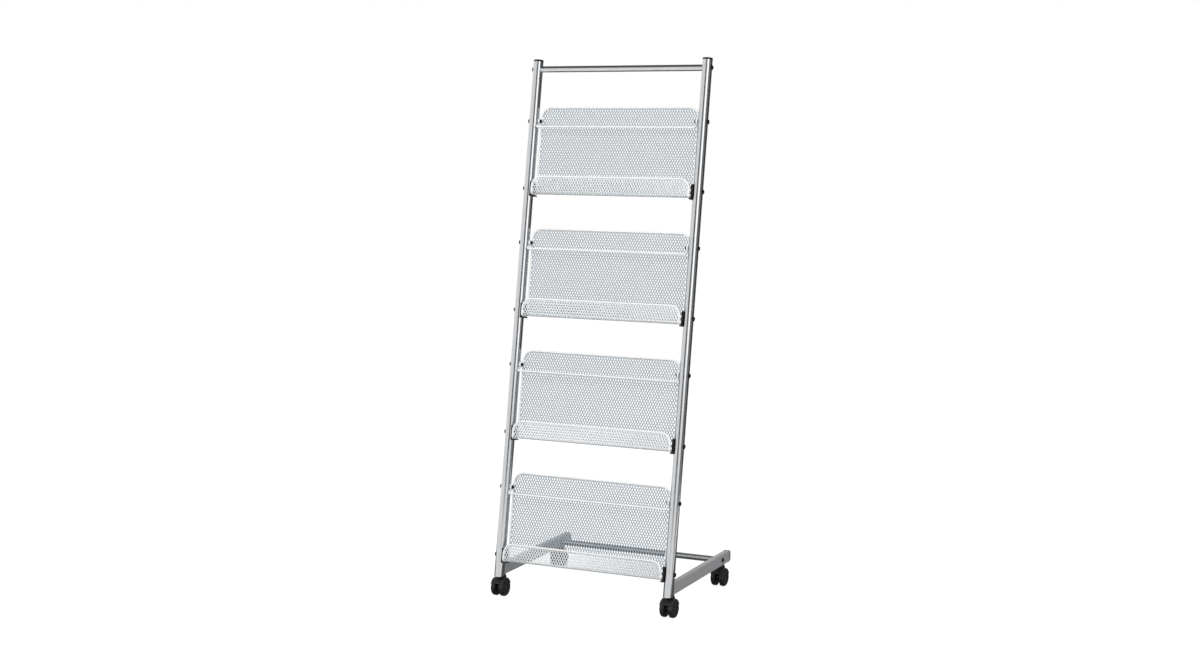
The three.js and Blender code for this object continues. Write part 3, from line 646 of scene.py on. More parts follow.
# A cap's crown inside its edge: shares of the radius, and of the crown's rise below the top
CROWN_OUTLINE = ((0.6, 0.3), (0.2, 0))
# A button head, in shares of its radius and its height
HEAD_OUTLINE = ((1, 0), (1, 0.3), (0.94, 0.55), (0.8, 0.8), (0.6, 0.95), (0.42, 1))


class RACK_OT_make_uprights(bpy.types.Operator):
    """Two leaning tubes with level feet and bolt holes, and the caps in their tops"""
    bl_idname = "rack.make_uprights"
    bl_label = "Uprights and caps"

    def execute(self, context):
        self.make_tubes(context.scene.rack_frame, context.scene.rack_pockets)
        self.make_caps(context.scene.rack_frame)
        return {'FINISHED'}

    def make_tubes(self, sizes, pockets):
        holes = [floor + height for floor in pocket_floors(pockets)
                 for height in (pockets.lower_bolt, pockets.upper_bolt)]
        band = 2 * sizes.bolt_diameter
        stations = [hole + step for hole in holes for step in (-band, band)]
        stations += [-3 * UPRIGHT_RADIUS, 2 * UPRIGHT_RADIUS, UPRIGHT_LENGTH]
        tube = turned("upright_tube", [(UPRIGHT_RADIUS, z) for z in sorted(stations)],
                      sizes.tube_sides, 'OPEN')
        place(tube, on_upright("right"))
        edit_all(tube)
        bpy.ops.mesh.bisect(plane_co=(0, 0, ARM_LOW.z), plane_no=(0, 0, 1), clear_inner=True)
        leave_edit()
        thicken(tube, sizes.tube_wall)
        hole_radius = sizes.bolt_diameter / 2 + sizes.fit
        cut_out(tube, [rod("bolt_hole", hole_radius, on_upright("right", z) @ ALONG_X,
                           2 * UPRIGHT_RADIUS, HOLE_SIDES) for z in holes])
        spread(tube, "silver_paint", both_sides("upright_tube", "upright", across))

    def make_caps(self, sizes):
        plug = UPRIGHT_RADIUS - sizes.tube_wall - sizes.fit
        top, fit, edge, crown = sizes.cap_height, sizes.fit, sizes.cap_edge, sizes.cap_crown
        chamfer = MM
        outline = [(plug - chamfer, -sizes.cap_plug), (plug, chamfer - sizes.cap_plug),
                   (plug, fit), (UPRIGHT_RADIUS, fit)]
        outline += arc((UPRIGHT_RADIUS - edge, top - crown - edge), edge, first=0, last=85, steps=6)
        outline += [(out * UPRIGHT_RADIUS, top - down * crown) for out, down in CROWN_OUTLINE]
        cap = turned("upright_cap", outline, sizes.tube_sides)
        places = both_sides("upright_plug", "upright_cap",
                            lambda side: on_upright(side, UPRIGHT_LENGTH))
        spread(cap, "black_plastic", places, smooth=50)


def button_head_screw(name, sizes, grip):
    """A screw about Z with a hexagon socket, its head's underside at the origin."""
    shank, head, top = sizes.bolt_diameter / 2, sizes.head_diameter / 2, sizes.head_height
    chamfer = 0.5 * MM
    outline = [(shank - chamfer, -grip), (shank, chamfer - grip), (shank, 0)]
    outline += [(radius * head, height * top) for radius, height in HEAD_OUTLINE]
    screw = turned(name, outline, PIN_SIDES)
    socket_radius, socket_floor = 0.36 * head, 0.4 * top
    socket = turned("socket", [(socket_radius, socket_floor), (socket_radius, 2 * top)], HEXAGON)
    combine(screw, socket, 'DIFFERENCE')
    return screw


def cap_nut(name, sizes):
    """A hexagon nut with a domed end, about Z from the origin upwards."""
    corner, dome = sizes.nut_diameter / 2, 0.4 * sizes.nut_diameter
    hexagon = 0.55 * sizes.nut_height
    nut = turned(name, [(corner, 0), (corner, hexagon)], HEXAGON)
    round_edges(nut, sizes.nut_edge, segments=2)
    rise = sizes.nut_height - hexagon
    outline = [(dome, 0.5 * hexagon)]
    bulge = arc((0, 0), 1, first=0, last=75, steps=5)
    outline += [(dome * out, hexagon + rise * up) for out, up in bulge]
    outline.append((0.08 * dome, sizes.nut_height))
    combine(nut, turned("nut_dome", outline, PIN_SIDES), 'UNION')
    return nut


class RACK_OT_make_top_rail(bpy.types.Operator):
    """The round rail between the uprights, coped to them, with a screw into each end"""
    bl_idname = "rack.make_top_rail"
    bl_label = "Top rail and screws"

    def execute(self, context):
        sizes = context.scene.rack_frame
        radius, near = sizes.rail_diameter / 2, INNER_FACE - sizes.rail_diameter
        stations = (-HALF_SPACING, -near, near, HALF_SPACING)
        rail = turned("top_rail_tube", [(radius, z) for z in stations], sizes.tube_sides, 'OPEN')
        thicken(rail, sizes.tube_wall)
        place(rail, ALONG_X)
        cut_out(rail, [rod("cope", UPRIGHT_RADIUS + sizes.snug, shift(side * HALF_SPACING),
                           2 * radius, COPE_SIDES) for side in SIDES.values()])
        place(rail, LEANING @ shift(z=RAIL_HEIGHT))
        settle(rail, "silver_paint", "top_rail")

        screw = button_head_screw("rail_screw", sizes, 2 * UPRIGHT_RADIUS + sizes.crossbar_insert)
        seat = shift(UPRIGHT_RADIUS + sizes.snug) @ ALONG_X
        spread(screw, "black_steel", both_sides(
            "rail_screw", None, lambda side: on_upright(side, RAIL_HEIGHT) @ seat))
        return {'FINISHED'}


class RACK_OT_make_base(bpy.types.Operator):
    """Flat-sided arms with rounded rear caps, and the crossbar screwed between them"""
    bl_idname = "rack.make_base"
    bl_label = "Base arms and crossbar"

    def execute(self, context):
        sizes = context.scene.rack_frame
        self.make_arms(sizes, context.scene.rack_casters)
        self.make_end_caps(sizes)
        self.make_crossbar(sizes)
        self.make_screws(sizes)
        return {'FINISHED'}

    def make_arms(self, sizes, casters):
        low = Vector((ARM_LOW.x, FOOT_Y, ARM_LOW.z))
        size = ARM_HIGH - low
        arm = start_block("base_arm", low, ARM_HIGH)
        select_where(arm, 'EDGE', lambda edge: runs_along(edge, 1))
        bpy.ops.mesh.bevel(offset=sizes.arm_corner, segments=5, affect='EDGES')
        select_where(arm, 'FACE', lambda face: abs(face.normal.y) > FACING)
        bpy.ops.mesh.delete(type='FACE')
        leave_edit()
        thicken(arm, sizes.tube_wall)
        cutters = [rod("cope", UPRIGHT_RADIUS + sizes.snug, on_upright("right"), 2 * size.z,
                       COPE_SIDES)]
        stem_radius = casters.stem_diameter / 2 + sizes.snug
        for end in ENDS:
            spot = middle(f"caster_{end}_right_stem")
            cutters.append(rod("stem_hole", stem_radius, shift(spot.x, spot.y, ARM_LOW.z),
                               size.z / 3))
        screw_spot = shift(*middle("crossbar_screw_right")) @ ALONG_X
        cutters.append(rod("screw_hole", sizes.bolt_diameter / 2 + sizes.fit, screw_spot,
                           2 * size.x))
        cut_out(arm, cutters)
        spread(arm, "grey_paint", both_sides("arm_tube", "base_arm", across), flat_sided=True)

    def make_end_caps(self, sizes):
        cap_low, cap_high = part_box("arm_end_cap_right")
        low = Vector((cap_low.x, ARM_HIGH.y + sizes.nose_gap, cap_low.z))
        cap = start_block("arm_nose", low, cap_high)
        select_where(cap, 'EDGE', lambda edge: runs_along(edge, 0)
                     and min(v.co.y for v in edge.verts) > cap_high.y - SAME_SPOT)
        bpy.ops.mesh.bevel(offset=sizes.nose_round, segments=10, affect='EDGES')
        select_where(cap, 'EDGE', lambda edge: not runs_along(edge, 0)
                     and max(v.co.y for v in edge.verts) > low.y + SAME_SPOT)
        bpy.ops.mesh.bevel(offset=sizes.nose_edge, segments=4, affect='EDGES')
        select_where(cap, 'FACE', lambda face: face.normal.y < -FACING)
        bpy.ops.mesh.inset(thickness=sizes.tube_wall + sizes.fit)
        extrude((0, cap_low.y - low.y, 0))
        leave_edit()
        spread(cap, "grey_plastic", both_sides("arm_nose", "arm_end_cap", across),
               flat_sided=True)

    def make_crossbar(self, sizes):
        size = extent("rear_crossbar")
        half, outer = size.x / 2, size.z / 2
        inner, bore = outer - sizes.tube_wall, sizes.bolt_diameter / 2 + sizes.fit
        insert, edge = half - sizes.crossbar_insert, 0.5 * MM
        outline = [(bore, -half), (outer - edge, -half), (outer, edge - half), (outer, half - edge),
                   (outer - edge, half), (bore, half), (bore, insert), (inner, insert),
                   (inner, -insert), (bore, -insert), (bore, -half)]
        bar = turned("crossbar_tube", outline, sizes.tube_sides, 'LOOP')
        place(bar, shift(*middle("rear_crossbar")) @ ALONG_X)
        settle(bar, "silver_paint", "rear_crossbar")

    def make_screws(self, sizes):
        screw_length = extent("crossbar_screw_right").x
        screw = button_head_screw("crossbar_bolt", sizes, screw_length - sizes.head_height)
        _, y, z = middle("crossbar_screw_right")
        seat = ARM_HIGH.x + sizes.snug
        spread(screw, "black_steel", both_sides(
            "crossbar_bolt", "crossbar_screw",
            lambda side: shift(SIDES[side] * seat, y, z) @ outwards(side) @ ALONG_X))


class RACK_OT_make_casters(bpy.types.Operator):
    """Twin-wheel casters: a steel stem, a hood that swivels on it, an axle and two wheels"""
    bl_idname = "rack.make_casters"
    bl_label = "Casters"
    smooth = 40

    def execute(self, context):
        sizes, fit = context.scene.rack_casters, context.scene.rack_frame.fit
        masters = {"pin": self.stem(sizes, fit), "shaft": self.axle(sizes),
                   "body": self.hood(sizes, fit), "tyre": self.wheel(sizes)}
        for end in ENDS:
            for side in SIDES:
                self.assemble(masters, end, side)
        for master in masters.values():
            discard(master)
        return {'FINISHED'}

    def assemble(self, masters, end, side):
        node, body = f"caster_{end}_{side}", f"{end}_{side}_caster"
        spot = middle(f"{node}_stem")
        at = shift(spot.x, spot.y)
        pin = copy_to(masters["pin"], f"{node}_pin", at)
        settle(pin, "pin_steel", f"{node}_stem")
        shaft = copy_to(masters["shaft"], f"{node}_shaft", at)
        settle(shaft, "pin_steel", f"{node}_axle", body)
        hood = copy_to(masters["body"], f"{node}_body", at)
        settle(hood, "black_plastic", f"{node}_hood", body, self.smooth, "caster_plastic")
        for wheel_side in SIDES:
            turn = at @ AXLE_PLACE @ outwards(wheel_side) @ ALONG_X
            tyre = copy_to(masters["tyre"], f"{node}_tyre_{wheel_side}", turn)
            settle(tyre, "black_plastic", f"{node}_wheel_{wheel_side}",
                   f"{body}_{wheel_side}_wheel", self.smooth, "caster_plastic")

    def stem(self, sizes, fit):
        pivot, collar = sizes.pivot_diameter / 2, sizes.collar_diameter / 2
        shank, edge = sizes.stem_diameter / 2, 0.4 * MM
        seat = ARM_LOW.z - fit
        under = seat - sizes.collar_height
        outline = [(pivot - edge, STEM_LOW.z), (pivot, STEM_LOW.z + edge), (pivot, under),
                   (collar - edge, under), (collar, under + edge), (collar, seat - edge),
                   (collar - edge, seat), (shank, seat), (shank, STEM_HIGH.z - edge),
                   (shank - edge, STEM_HIGH.z)]
        return turned("caster_pin", outline, PIN_SIDES)

    def axle(self, sizes):
        half, radius = extent("caster_front_right_axle").x / 2, sizes.axle_diameter / 2
        edge = 0.5 * MM
        outline = [(radius - edge, -half), (radius, edge - half), (radius, half - edge),
                   (radius - edge, half)]
        return place(turned("caster_shaft", outline, PIN_SIDES), AXLE_PLACE @ ALONG_X)

    def wheel(self, sizes):
        """A wheel about Z: its inner face at the core, its dished face outwards."""
        inside = sizes.core_width / 2 + sizes.wheel_gap
        outside = inside + WHEEL_WIDTH
        bore, tread = sizes.axle_diameter / 2 + sizes.running_fit, WHEEL_RADIUS
        web, edge, shoulder = outside - sizes.dish, sizes.inner_edge, sizes.shoulder
        outline = [(bore, inside)]
        outline += arc((tread - edge, inside + edge), edge, first=-90, last=0, steps=5)
        outline += arc((tread - shoulder, outside - shoulder), shoulder, first=0, last=90,
                       steps=10)
        land, slope, soft_in, soft_down = 0.8 * MM, 1.2 * MM, 0.7 * MM, 0.3 * MM
        rim = tread - shoulder - land
        outline += [(rim, outside), (rim - soft_in, outside - soft_down),
                    (rim - slope, web + soft_down), (rim - slope - soft_in, web)]
        hub, flare, rise = bore + sizes.wheel_hub, 0.8 * MM, 0.9 * MM
        mouth, mouth_depth = 0.6 * MM, 0.4 * MM
        outline += [(hub + flare, web), (hub, web + rise), (bore + mouth, web + rise),
                    (bore, web + rise - mouth_depth), (bore, inside)]
        return turned("caster_tyre", outline, WHEEL_SIDES, 'LOOP')

    def hood(self, sizes, fit):
        """A core between the wheels, a neck round the pivot and a lipped cover over both wheels."""
        half, hub_radius = sizes.core_width / 2, sizes.hub_radius
        hub = turned("caster_body", [(hub_radius, -half), (hub_radius, half)], HOOD_SIDES)
        place(hub, AXLE_PLACE @ ALONG_X)
        neck = sizes.pivot_diameter / 2 + fit + sizes.neck_wall
        core = start_block("core", Vector((-half, -CASTER_TRAIL, WHEEL_RADIUS - hub_radius)),
                           Vector((half, neck, HOOD_TOP - sizes.core_drop)))
        select_where(core, 'EDGE', lambda edge: runs_along(edge, 0))
        bpy.ops.mesh.bevel(offset=sizes.core_round, segments=4, affect='EDGES')
        leave_edit()
        combine(hub, core, 'UNION')
        combine(hub, self.boss(neck), 'UNION')
        combine(hub, self.cover(sizes), 'UNION')
        pivot = rod("pivot_bore", sizes.pivot_diameter / 2 + sizes.running_fit,
                    shift(z=HOOD_TOP), HOOD_TOP - STEM_LOW.z + fit)
        combine(hub, pivot, 'DIFFERENCE')
        shaft = rod("axle_bore", sizes.axle_diameter / 2 + sizes.running_fit,
                    AXLE_PLACE @ ALONG_X, sizes.core_width)
        combine(hub, shaft, 'DIFFERENCE')
        return hub

    def boss(self, neck):
        """The round neck, with a softened upper edge."""
        flare, flare_drop = 1.5 * MM, 2.4 * MM
        edge, edge_drop = 0.6 * MM, 1.0 * MM
        return turned("boss", [(neck + flare, WHEEL_RADIUS), (neck + flare, HOOD_TOP - flare_drop),
                               (neck + edge, HOOD_TOP - edge_drop), (neck, HOOD_TOP)], HOOD_SIDES)

    def cover(self, sizes):
        """A ring over the wheels' shoulders, of which two cuts leave the upper part."""
        gap, shoulder, bend = sizes.cover_gap, sizes.shoulder, sizes.cover_round
        outer = WHEEL_RADIUS + gap + sizes.cover_wall
        lip = math.degrees(math.asin(shoulder / (shoulder + gap)))
        inside = arc((WHEEL_RADIUS - shoulder, HOOD_HALF_WIDTH - shoulder), shoulder + gap,
                     first=0, last=lip, steps=7)
        crown = arc((outer - bend, HOOD_HALF_WIDTH - bend), bend, first=78, last=0, steps=8)
        upper = [*inside, *crown]
        lower = [(radius, -height) for radius, height in reversed(upper)]
        ring = turned("cover", [*upper, (outer, 0), *lower, upper[0]], COVER_SIDES, 'LOOP')
        place(ring, AXLE_PLACE @ ALONG_X)
        edit_all(ring)
        start_cut = (0, -math.sin(sizes.cover_start), math.cos(sizes.cover_start))
        end_cut = (0, math.sin(sizes.cover_end), -math.cos(sizes.cover_end))
        for cut in (start_cut, end_cut):
            bpy.ops.mesh.select_all(action='SELECT')
            bpy.ops.mesh.bisect(plane_co=AXLE_PLACE.to_translation(), plane_no=cut,
                                clear_inner=True, use_fill=True)
        bpy.ops.mesh.select_all(action='SELECT')
        bpy.ops.mesh.normals_make_consistent(inside=False)
        leave_edit()
        return ring


class RACK_OT_make_pocket_rims(bpy.types.Operator):
    """The wire round each pocket's panel, floor and lip"""
    bl_idname = "rack.make_pocket_rims"
    bl_label = "Pocket rims"
    fold_steps = 6
    corner_steps = 12

    def execute(self, context):
        sizes = context.scene.rack_pockets
        radius = sizes.rim_diameter / 2
        back, front = sizes.panel_setback, -sizes.lip_forward
        half_loop = [(back, sizes.height - radius), (back, radius), (front, radius),
                     (front, sizes.lip_height - radius)]
        corners = [(sizes.rim_reach, y, z) for y, z in half_loop]
        corners += [(-sizes.rim_reach, y, z) for y, z in reversed(half_loop)]
        fold = (sizes.fold_radius, self.fold_steps)
        half_bends = [(sizes.panel_corner, self.corner_steps), fold, fold,
                      (sizes.lip_corner, self.corner_steps)]
        bends = dict(enumerate([*half_bends, *reversed(half_bends)]))
        rim = bent_wire("pocket_rim", corners, bends, sizes.rim_diameter, True)
        spread(rim, "bright_wire", each_pocket("wire_rim", "rim", pocket_floors(sizes)), smooth=50)
        return {'FINISHED'}


class RACK_OT_make_pocket_meshes(bpy.types.Operator):
    """Expanded mesh: diamonds cut in a flat sheet, its corners rounded, folded inside the rim"""
    bl_idname = "rack.make_pocket_meshes"
    bl_label = "Pocket meshes"
    fold_steps = 6
    corner_cuts = 6

    def execute(self, context):
        sizes = context.scene.rack_pockets
        sheet = self.flat_sheet(sizes)
        self.round_corners(sizes)
        self.fold(sheet, sizes)
        leave_edit()
        thicken(sheet, sizes.sheet, offset=0)
        places = each_pocket("diamond_mesh", "mesh", pocket_floors(sizes))
        # Each pocket's floor and lip get painted light, a lighter copy of the mesh lacquer
        for twin in spread(sheet, "mesh_steel", places, smooth=30):
            self.paint_light_on_front(twin, sizes)
        return {'FINISHED'}

    def paint_light_on_front(self, sheet, sizes):
        """Gives the strands of the floor and the lip a lighter copy of the mesh lacquer: painted
        light, standing in for the brighter light that falls on the front of the pocket.
        """
        sheet.data.materials.append(finish_for("lip_steel"))
        upright = LEANING.inverted()
        front = sizes.panel_setback - MM
        edit_all(sheet)
        select_where(sheet, 'FACE', lambda face: (upright @ face.calc_center_median()).y < front)
        sheet.active_material_index = 1
        bpy.ops.object.material_slot_assign()
        leave_edit()

    def span(self, sizes):
        """Half the sheet's width, its upper edge, and the developed length of its runs."""
        radius, inset = sizes.rim_diameter / 2, sizes.weld_depth
        top, bend = sizes.height - radius - inset, radius + sizes.fold_radius
        panel = top - bend
        floor = sizes.panel_setback + sizes.lip_forward - 2 * sizes.fold_radius
        lip = sizes.lip_height - radius - inset - bend
        fold = sizes.fold_radius * math.pi / 2
        return sizes.rim_reach - inset, top, (panel, fold, floor, fold, lip)

    def flat_sheet(self, sizes):
        half, top, runs = self.span(sizes)
        drop = sum(runs)
        sheet = start(bpy.ops.mesh.primitive_grid_add, "diamond_mesh", size=1,
                      x_subdivisions=round(2 * half / sizes.opening_width),
                      y_subdivisions=round(drop / sizes.opening_height))
        bpy.ops.transform.resize(value=(2 * half, drop, 1), center_override=(0, 0, 0))
        leave_edit()
        place(sheet, shift(0, sizes.panel_setback, top - drop / 2) @ STANDING)
        edit_all(sheet)
        bpy.ops.mesh.poke()
        select_where(sheet, 'EDGE', lambda edge: len(edge.link_faces) == 2
                     and (runs_along(edge, 0) or runs_along(edge, 2)))
        bpy.ops.mesh.dissolve_edges(use_verts=False)
        bpy.ops.mesh.select_mode(type='FACE')
        bpy.ops.mesh.select_all(action='SELECT')
        bpy.ops.mesh.inset(thickness=sizes.strand / 2, use_individual=True)
        bpy.ops.mesh.delete(type='FACE')
        return sheet

    def round_corners(self, sizes):
        """Trims the corners of the sheet being edited, a straight cut at a time."""
        half, top, runs = self.span(sizes)
        bottom = top - sum(runs)
        corners = [(top, 1, sizes.panel_corner - sizes.weld_depth),
                   (bottom, -1, sizes.lip_corner - sizes.weld_depth)]
        turns = [math.pi / 2 * (step + 0.5) / self.corner_cuts for step in range(self.corner_cuts)]
        for edge, up, radius in corners:
            for side in SIDES.values():
                centre = Vector((side * (half - radius), sizes.panel_setback, edge - up * radius))
                for turn in turns:
                    away = Vector((side * math.cos(turn), 0, up * math.sin(turn)))
                    bpy.ops.mesh.select_all(action='SELECT')
                    bpy.ops.mesh.bisect(plane_co=centre + radius * away, plane_no=away,
                                        clear_outer=True)

    def fold(self, sheet, sizes):
        """Bends the sheet forwards at the floor and up at the lip, a crease at a time."""
        _, top, runs = self.span(sizes)
        panel, arc_length, floor = runs[:3]
        step, bend = arc_length / self.fold_steps, math.pi / 2 / self.fold_steps
        creases = [panel + step * (k + 0.5) for k in range(self.fold_steps)]
        creases += [crease + arc_length + floor for crease in creases]
        shape = bmesh.from_edit_mesh(sheet.data)
        depth = {vertex.index: top - vertex.co.z for vertex in shape.verts}
        y, z, turn, reached = sizes.panel_setback, top, 0.0, 0.0
        for crease in creases:
            run = crease - reached
            y, z, reached = y - run * math.sin(turn), z - run * math.cos(turn), crease
            select_where(sheet, 'VERT', lambda vertex: depth[vertex.index] > crease)
            bpy.ops.transform.rotate(value=bend, orient_axis='X', center_override=(0, y, z))
            turn += bend


class RACK_OT_make_retaining_wires(bpy.types.Operator):
    """The wire across each pocket, with an eyelet round the bolt at each end"""
    bl_idname = "rack.make_retaining_wires"
    bl_label = "Retaining wires"
    eyelet_steps = 24
    bend_steps = 8

    def execute(self, context):
        sizes = context.scene.rack_pockets
        ahead, drop, ring = sizes.retainer_forward, sizes.retainer_drop, sizes.eyelet_radius
        eyelet_x = INNER_FACE - context.scene.rack_frame.fit - sizes.retainer_diameter / 2
        dip = math.acos(ring / math.hypot(drop, ahead)) - math.atan2(ahead, drop)
        leave = 1.5 * math.pi - dip
        turns = [leave - sizes.eyelet_turn * (1 - k / self.eyelet_steps)
                 for k in range(self.eyelet_steps + 1)]
        half = [(-eyelet_x, -ring * math.cos(a), ring * math.sin(a)) for a in turns]
        half.append((-eyelet_x, -ahead, -drop))
        corners = half + [(-x, y, z) for x, y, z in reversed(half)]
        bend = (sizes.retainer_bend, self.bend_steps)
        bends = {len(half) - 1: bend, len(half): bend}
        wire = bent_wire("retaining_wire", corners, bends, sizes.retainer_diameter, False)
        places = each_pocket("keeper_wire", "retaining_wire", UPPER_BOLT_HEIGHTS)
        spread(wire, "bright_wire", places, smooth=50)
        return {'FINISHED'}


class RACK_OT_make_pocket_fixings(bpy.types.Operator):
    """Bolts with cap nuts through the eyelets, and saddles with bolts under the lips"""
    bl_idname = "rack.make_pocket_fixings"
    bl_label = "Pocket fixings"

    def execute(self, context):
        sizes, pockets = context.scene.rack_frame, context.scene.rack_pockets
        eyelet_face = INNER_FACE - 2 * sizes.fit - pockets.retainer_diameter
        saddle_face = INNER_FACE - pockets.saddle_web - sizes.snug
        upper = self.bolt("upper_fixing", sizes, eyelet_face)
        lower = self.bolt("lower_fixing", sizes, saddle_face)
        saddle = self.saddle(sizes, pockets)
        floors = pocket_floors(pockets)
        spread(upper, "black_steel", self.places(
            "upper_fixing", "upper_bolt", [floor + pockets.upper_bolt for floor in floors]))
        spread(lower, "black_steel", self.places(
            "lower_fixing", None, [floor + pockets.lower_bolt for floor in floors]))
        spread(saddle, "black_plastic", self.places("saddle", "lower_bracket", floors),
               flat_sided=True)
        return {'FINISHED'}

    def places(self, piece, node, heights):
        """(piece, place, node) on both uprights at each pocket."""
        found = []
        for number, height in zip(POCKETS, heights):
            found += both_sides(f"pocket_{number}_{piece}", node and f"pocket_{number}_{node}",
                                lambda side: on_upright(side, height))
        return found

    def bolt(self, name, sizes, nut_face):
        """A bolt through the upright, about the upright's axis, and its nut."""
        seat = UPRIGHT_RADIUS + sizes.snug
        grip = seat + HALF_SPACING - nut_face
        bolt = button_head_screw(name, sizes, grip + 0.5 * sizes.nut_height)
        place(bolt, shift(seat) @ ALONG_X)
        nut = cap_nut("nut", sizes)
        place(nut, shift(nut_face - HALF_SPACING) @ HALF_TURN @ ALONG_X)
        combine(bolt, nut, 'UNION')
        return bolt

    def saddle(self, sizes, pockets):
        """A block hollowed to the upright, with a ledge under the rim, about the upright's axis."""
        inner = INNER_FACE - pockets.saddle_web - sizes.fit - HALF_SPACING
        outside, half = pockets.saddle_wrap - UPRIGHT_RADIUS, pockets.saddle_depth / 2
        ledge_top = -sizes.fit
        low = Vector((inner, -half, ledge_top - pockets.ledge_thickness))
        high = Vector((outside, half, pockets.saddle_height))
        saddle = start_block("saddle", low, high)
        bpy.ops.mesh.bisect(plane_co=(0, 0, ledge_top), plane_no=(0, 0, 1))
        select_where(saddle, 'FACE', lambda face: face.normal.x < -FACING
                     and face.calc_center_median().z < ledge_top)
        extrude((-pockets.ledge_reach, 0, 0))
        leave_edit()
        round_edges(saddle, pockets.saddle_edge, segments=3)
        room = rod("room", UPRIGHT_RADIUS + sizes.snug, Matrix(), 3 * pockets.saddle_height,
                   COPE_SIDES)
        combine(saddle, room, 'DIFFERENCE')
        bore = rod("bore", sizes.bolt_diameter / 2 + sizes.fit,
                   shift(z=pockets.lower_bolt) @ ALONG_X, 3 * UPRIGHT_RADIUS)
        combine(saddle, bore, 'DIFFERENCE')
        return saddle


class RACK_OT_make_stage(bpy.types.Operator):
    """Pale floor, level studio light with dark cards for the metal, and the camera"""
    bl_idname = "rack.make_stage"
    bl_label = "Stage"
    camera_spot = (1.9056, -4.0641, 1.2078)
    camera_turn = (math.radians(90 - 7.089), 0, math.radians(25.580))
    camera_lens = 54.328
    floor_size = 60
    # Degrees round the rack, distance and height; then the lamp's pitch, and its size
    lamps = {"softbox": ((22, 2.8, 2.3), 60, (1.6, 3.0)),
             "key": ((-35, 2.6, 2.6), 54, (1.6, 1.6)),
             "fill": ((75, 2.8, 1.2), 80, (1.6, 1.6)),
             "rear": ((170, 2.6, 2.5), 52, (1.6, 1.6))}
    # Degrees round the rack, distance and height; then the card's size, and its tone
    standing_cards = {"rear": ((147, 2.2, 2.0), (1.3, 4.5), 0.45),
                      "right": ((103, 1.9, 2.0), (1.9, 4.5), 0.05),
                      "side": ((58, 2.6, 2.0), (1.7, 4.5), 0.22),
                      "left": ((-18.5, 3.0, 2.4), (1.66, 3.7), 0.15)}
    # Spot, size and tone
    lying_cards = {"overhead": ((0, 0, 3.6), (7, 7), 0.12),
                   # The low card is a painted shadow: a dark sheet under the rack that stands in
                   # for its shadow on the floor, seen only in reflections
                   "low": ((0, 0.95, 1.5 * MM), (2.4, 2.9), 0.1)}

    def execute(self, context):
        settings = context.scene.rack_stage
        scene = context.scene
        scene.view_settings.view_transform = 'Standard'
        self.set_world(scene, settings)
        self.lay_floor(settings)
        self.set_lamps(settings)
        self.hang_cards()
        bpy.ops.object.camera_add(location=self.camera_spot, rotation=self.camera_turn)
        camera = bpy.context.object
        camera.name = "stage_camera"
        camera.data.lens = self.camera_lens
        scene.camera = camera
        return {'FINISHED'}

    def seen_directly(self, tree):
        """1 for rays from the camera, or by way of a mirror or glass, and 0 for other light."""
        path = tree.nodes.new("ShaderNodeLightPath")
        seen = path.outputs["Is Camera Ray"]
        for name in ("Is Glossy Ray", "Is Transmission Ray"):
            most = add_node(tree, "Math", {0: seen, 1: path.outputs[name]})
            most.operation = 'MAXIMUM'
            seen = most.outputs[0]
        return seen

    def mix(self, tree, factor, unseen, seen):
        mixed = add_node(tree, "MixShader", {
            "Fac": factor, 1: unseen.outputs[0], 2: seen.outputs[0]})
        return mixed.outputs[0]

    def set_world(self, scene, settings):
        world = scene.world or bpy.data.worlds.new("stage_world")
        scene.world = world
        world.use_nodes = True
        tree = world.node_tree
        tree.nodes.clear()
        white = (1, 1, 1, 1)
        around = add_node(tree, "Background", {"Color": white, "Strength": settings.ambient})
        backdrop = add_node(tree, "Background", {"Color": white, "Strength": 1})
        surface = self.mix(tree, self.seen_directly(tree), around, backdrop)
        add_node(tree, "OutputWorld", {"Surface": surface})

    def bare_material(self, piece):
        """The empty node tree of a new material on a piece of the stage."""
        material = bpy.data.materials.new(piece.name)
        material.use_nodes = True
        material.node_tree.nodes.clear()
        piece.data.materials.append(material)
        return material.node_tree

    def lay_floor(self, settings):
        floor = start(bpy.ops.mesh.primitive_plane_add, "stage_floor", size=self.floor_size)
        leave_edit()
        tree = self.bare_material(floor)
        matt = add_node(tree, "BsdfDiffuse", {"Color": (*settings.floor, 1)})
        white = add_node(tree, "Emission", {"Strength": settings.floor_glow})
        amount = add_node(tree, "Math", {0: self.seen_directly(tree), 1: 1 - settings.shadow})
        amount.operation = 'MULTIPLY'
        surface = self.mix(tree, amount.outputs[0], matt, white)
        add_node(tree, "OutputMaterial", {"Surface": surface})

    def around_rack(self, degrees, distance, height):
        """A spot round the rack, counted from the camera's side towards its right."""
        turn = self.camera_turn[2] + math.radians(degrees)
        return Vector((math.sin(turn) * distance, -math.cos(turn) * distance, height)), turn

    def set_lamps(self, settings):
        """Lamps that the camera doesn't see, and of which the metal mirrors only the softbox."""
        for name, (where, pitch, size) in self.lamps.items():
            spot, turn = self.around_rack(*where)
            bpy.ops.object.light_add(type='AREA', location=spot,
                                     rotation=(math.radians(pitch), 0, turn))
            lamp = bpy.context.object
            lamp.name = f"stage_{name}"
            lamp.data.shape = 'RECTANGLE'
            lamp.data.size, lamp.data.size_y = size
            lamp.data.energy = getattr(settings, name)
            lamp.visible_camera = False
            lamp.visible_glossy = name == "softbox"

    def hang_cards(self):
        """Cards that only reflections see, for the dark bands along the tubes; the low card is a
        painted shadow under the rack, which the crossbar and other low metal mirror.
        """
        for name, (where, size, tone) in self.standing_cards.items():
            spot, turn = self.around_rack(*where)
            stand = shift(*spot) @ Matrix.Rotation(turn, 4, 'Z') @ STANDING
            self.hang_card(name, stand, size, tone)
        for name, (spot, size, tone) in self.lying_cards.items():
            self.hang_card(name, shift(*spot), size, tone)

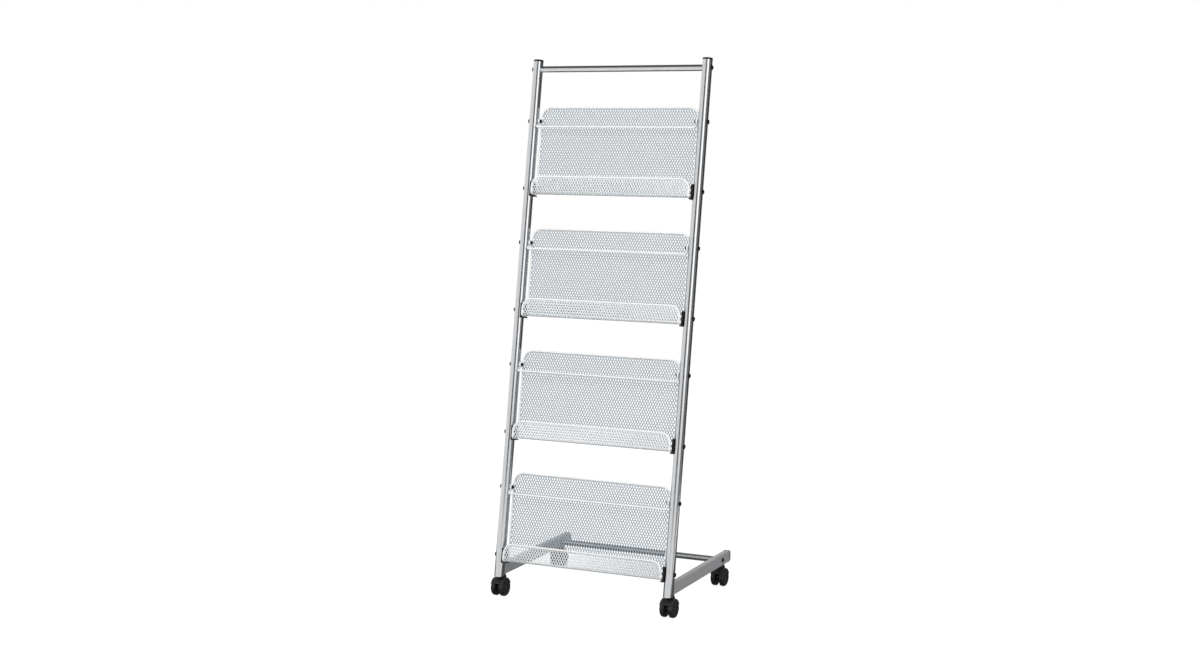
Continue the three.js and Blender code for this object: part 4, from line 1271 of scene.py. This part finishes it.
    def hang_card(self, name, matrix, size, tone):
        card = start(bpy.ops.mesh.primitive_plane_add, f"stage_card_{name}", size=1)
        bpy.ops.transform.resize(value=(*size, 1), center_override=(0, 0, 0))
        leave_edit()
        place(card, matrix)
        tree = self.bare_material(card)
        glow = add_node(tree, "Emission", {"Color": (tone, tone, tone, 1)})
        add_node(tree, "OutputMaterial", {"Surface": glow.outputs[0]})
        card.visible_camera = card.visible_diffuse = card.visible_shadow = False
        card.visible_transmission = False


class RACK_PT_panel(bpy.types.Panel):
    """Lists the steps that make the rack"""
    bl_idname = "RACK_PT_panel"
    bl_label = "Periodical display rack"
    bl_space_type = 'VIEW_3D'
    bl_region_type = 'UI'
    bl_category = "Rack"

    def draw(self, context):
        for maker in MAKERS:
            self.layout.operator(maker.bl_idname)


GROUPS = {
    "rack_frame": RackFrameSizes,
    "rack_pockets": RackPocketSizes,
    "rack_casters": RackCasterSizes,
    "rack_finishes": RackFinishes,
    "rack_stage": RackStageSettings,
}
MAKERS = (
    RACK_OT_make_uprights,
    RACK_OT_make_top_rail,
    RACK_OT_make_base,
    RACK_OT_make_casters,
    RACK_OT_make_pocket_rims,
    RACK_OT_make_pocket_meshes,
    RACK_OT_make_retaining_wires,
    RACK_OT_make_pocket_fixings,
    RACK_OT_make_stage,
)


def register():
    for item in (*GROUPS.values(), *MAKERS, RACK_PT_panel):
        bpy.utils.register_class(item)
    for name, group in GROUPS.items():
        setattr(bpy.types.Scene, name, PointerProperty(type=group))


def unregister():
    for name in GROUPS:
        delattr(bpy.types.Scene, name)
    for item in (RACK_PT_panel, *reversed(MAKERS), *reversed(GROUPS.values())):
        bpy.utils.unregister_class(item)


def main():
    register()
    bpy.ops.rack.make_uprights()
    bpy.ops.rack.make_top_rail()
    bpy.ops.rack.make_base()
    bpy.ops.rack.make_casters()
    bpy.ops.rack.make_pocket_rims()
    bpy.ops.rack.make_pocket_meshes()
    bpy.ops.rack.make_retaining_wires()
    bpy.ops.rack.make_pocket_fixings()
    bpy.ops.rack.make_stage()


if __name__ == "__main__":
    main()
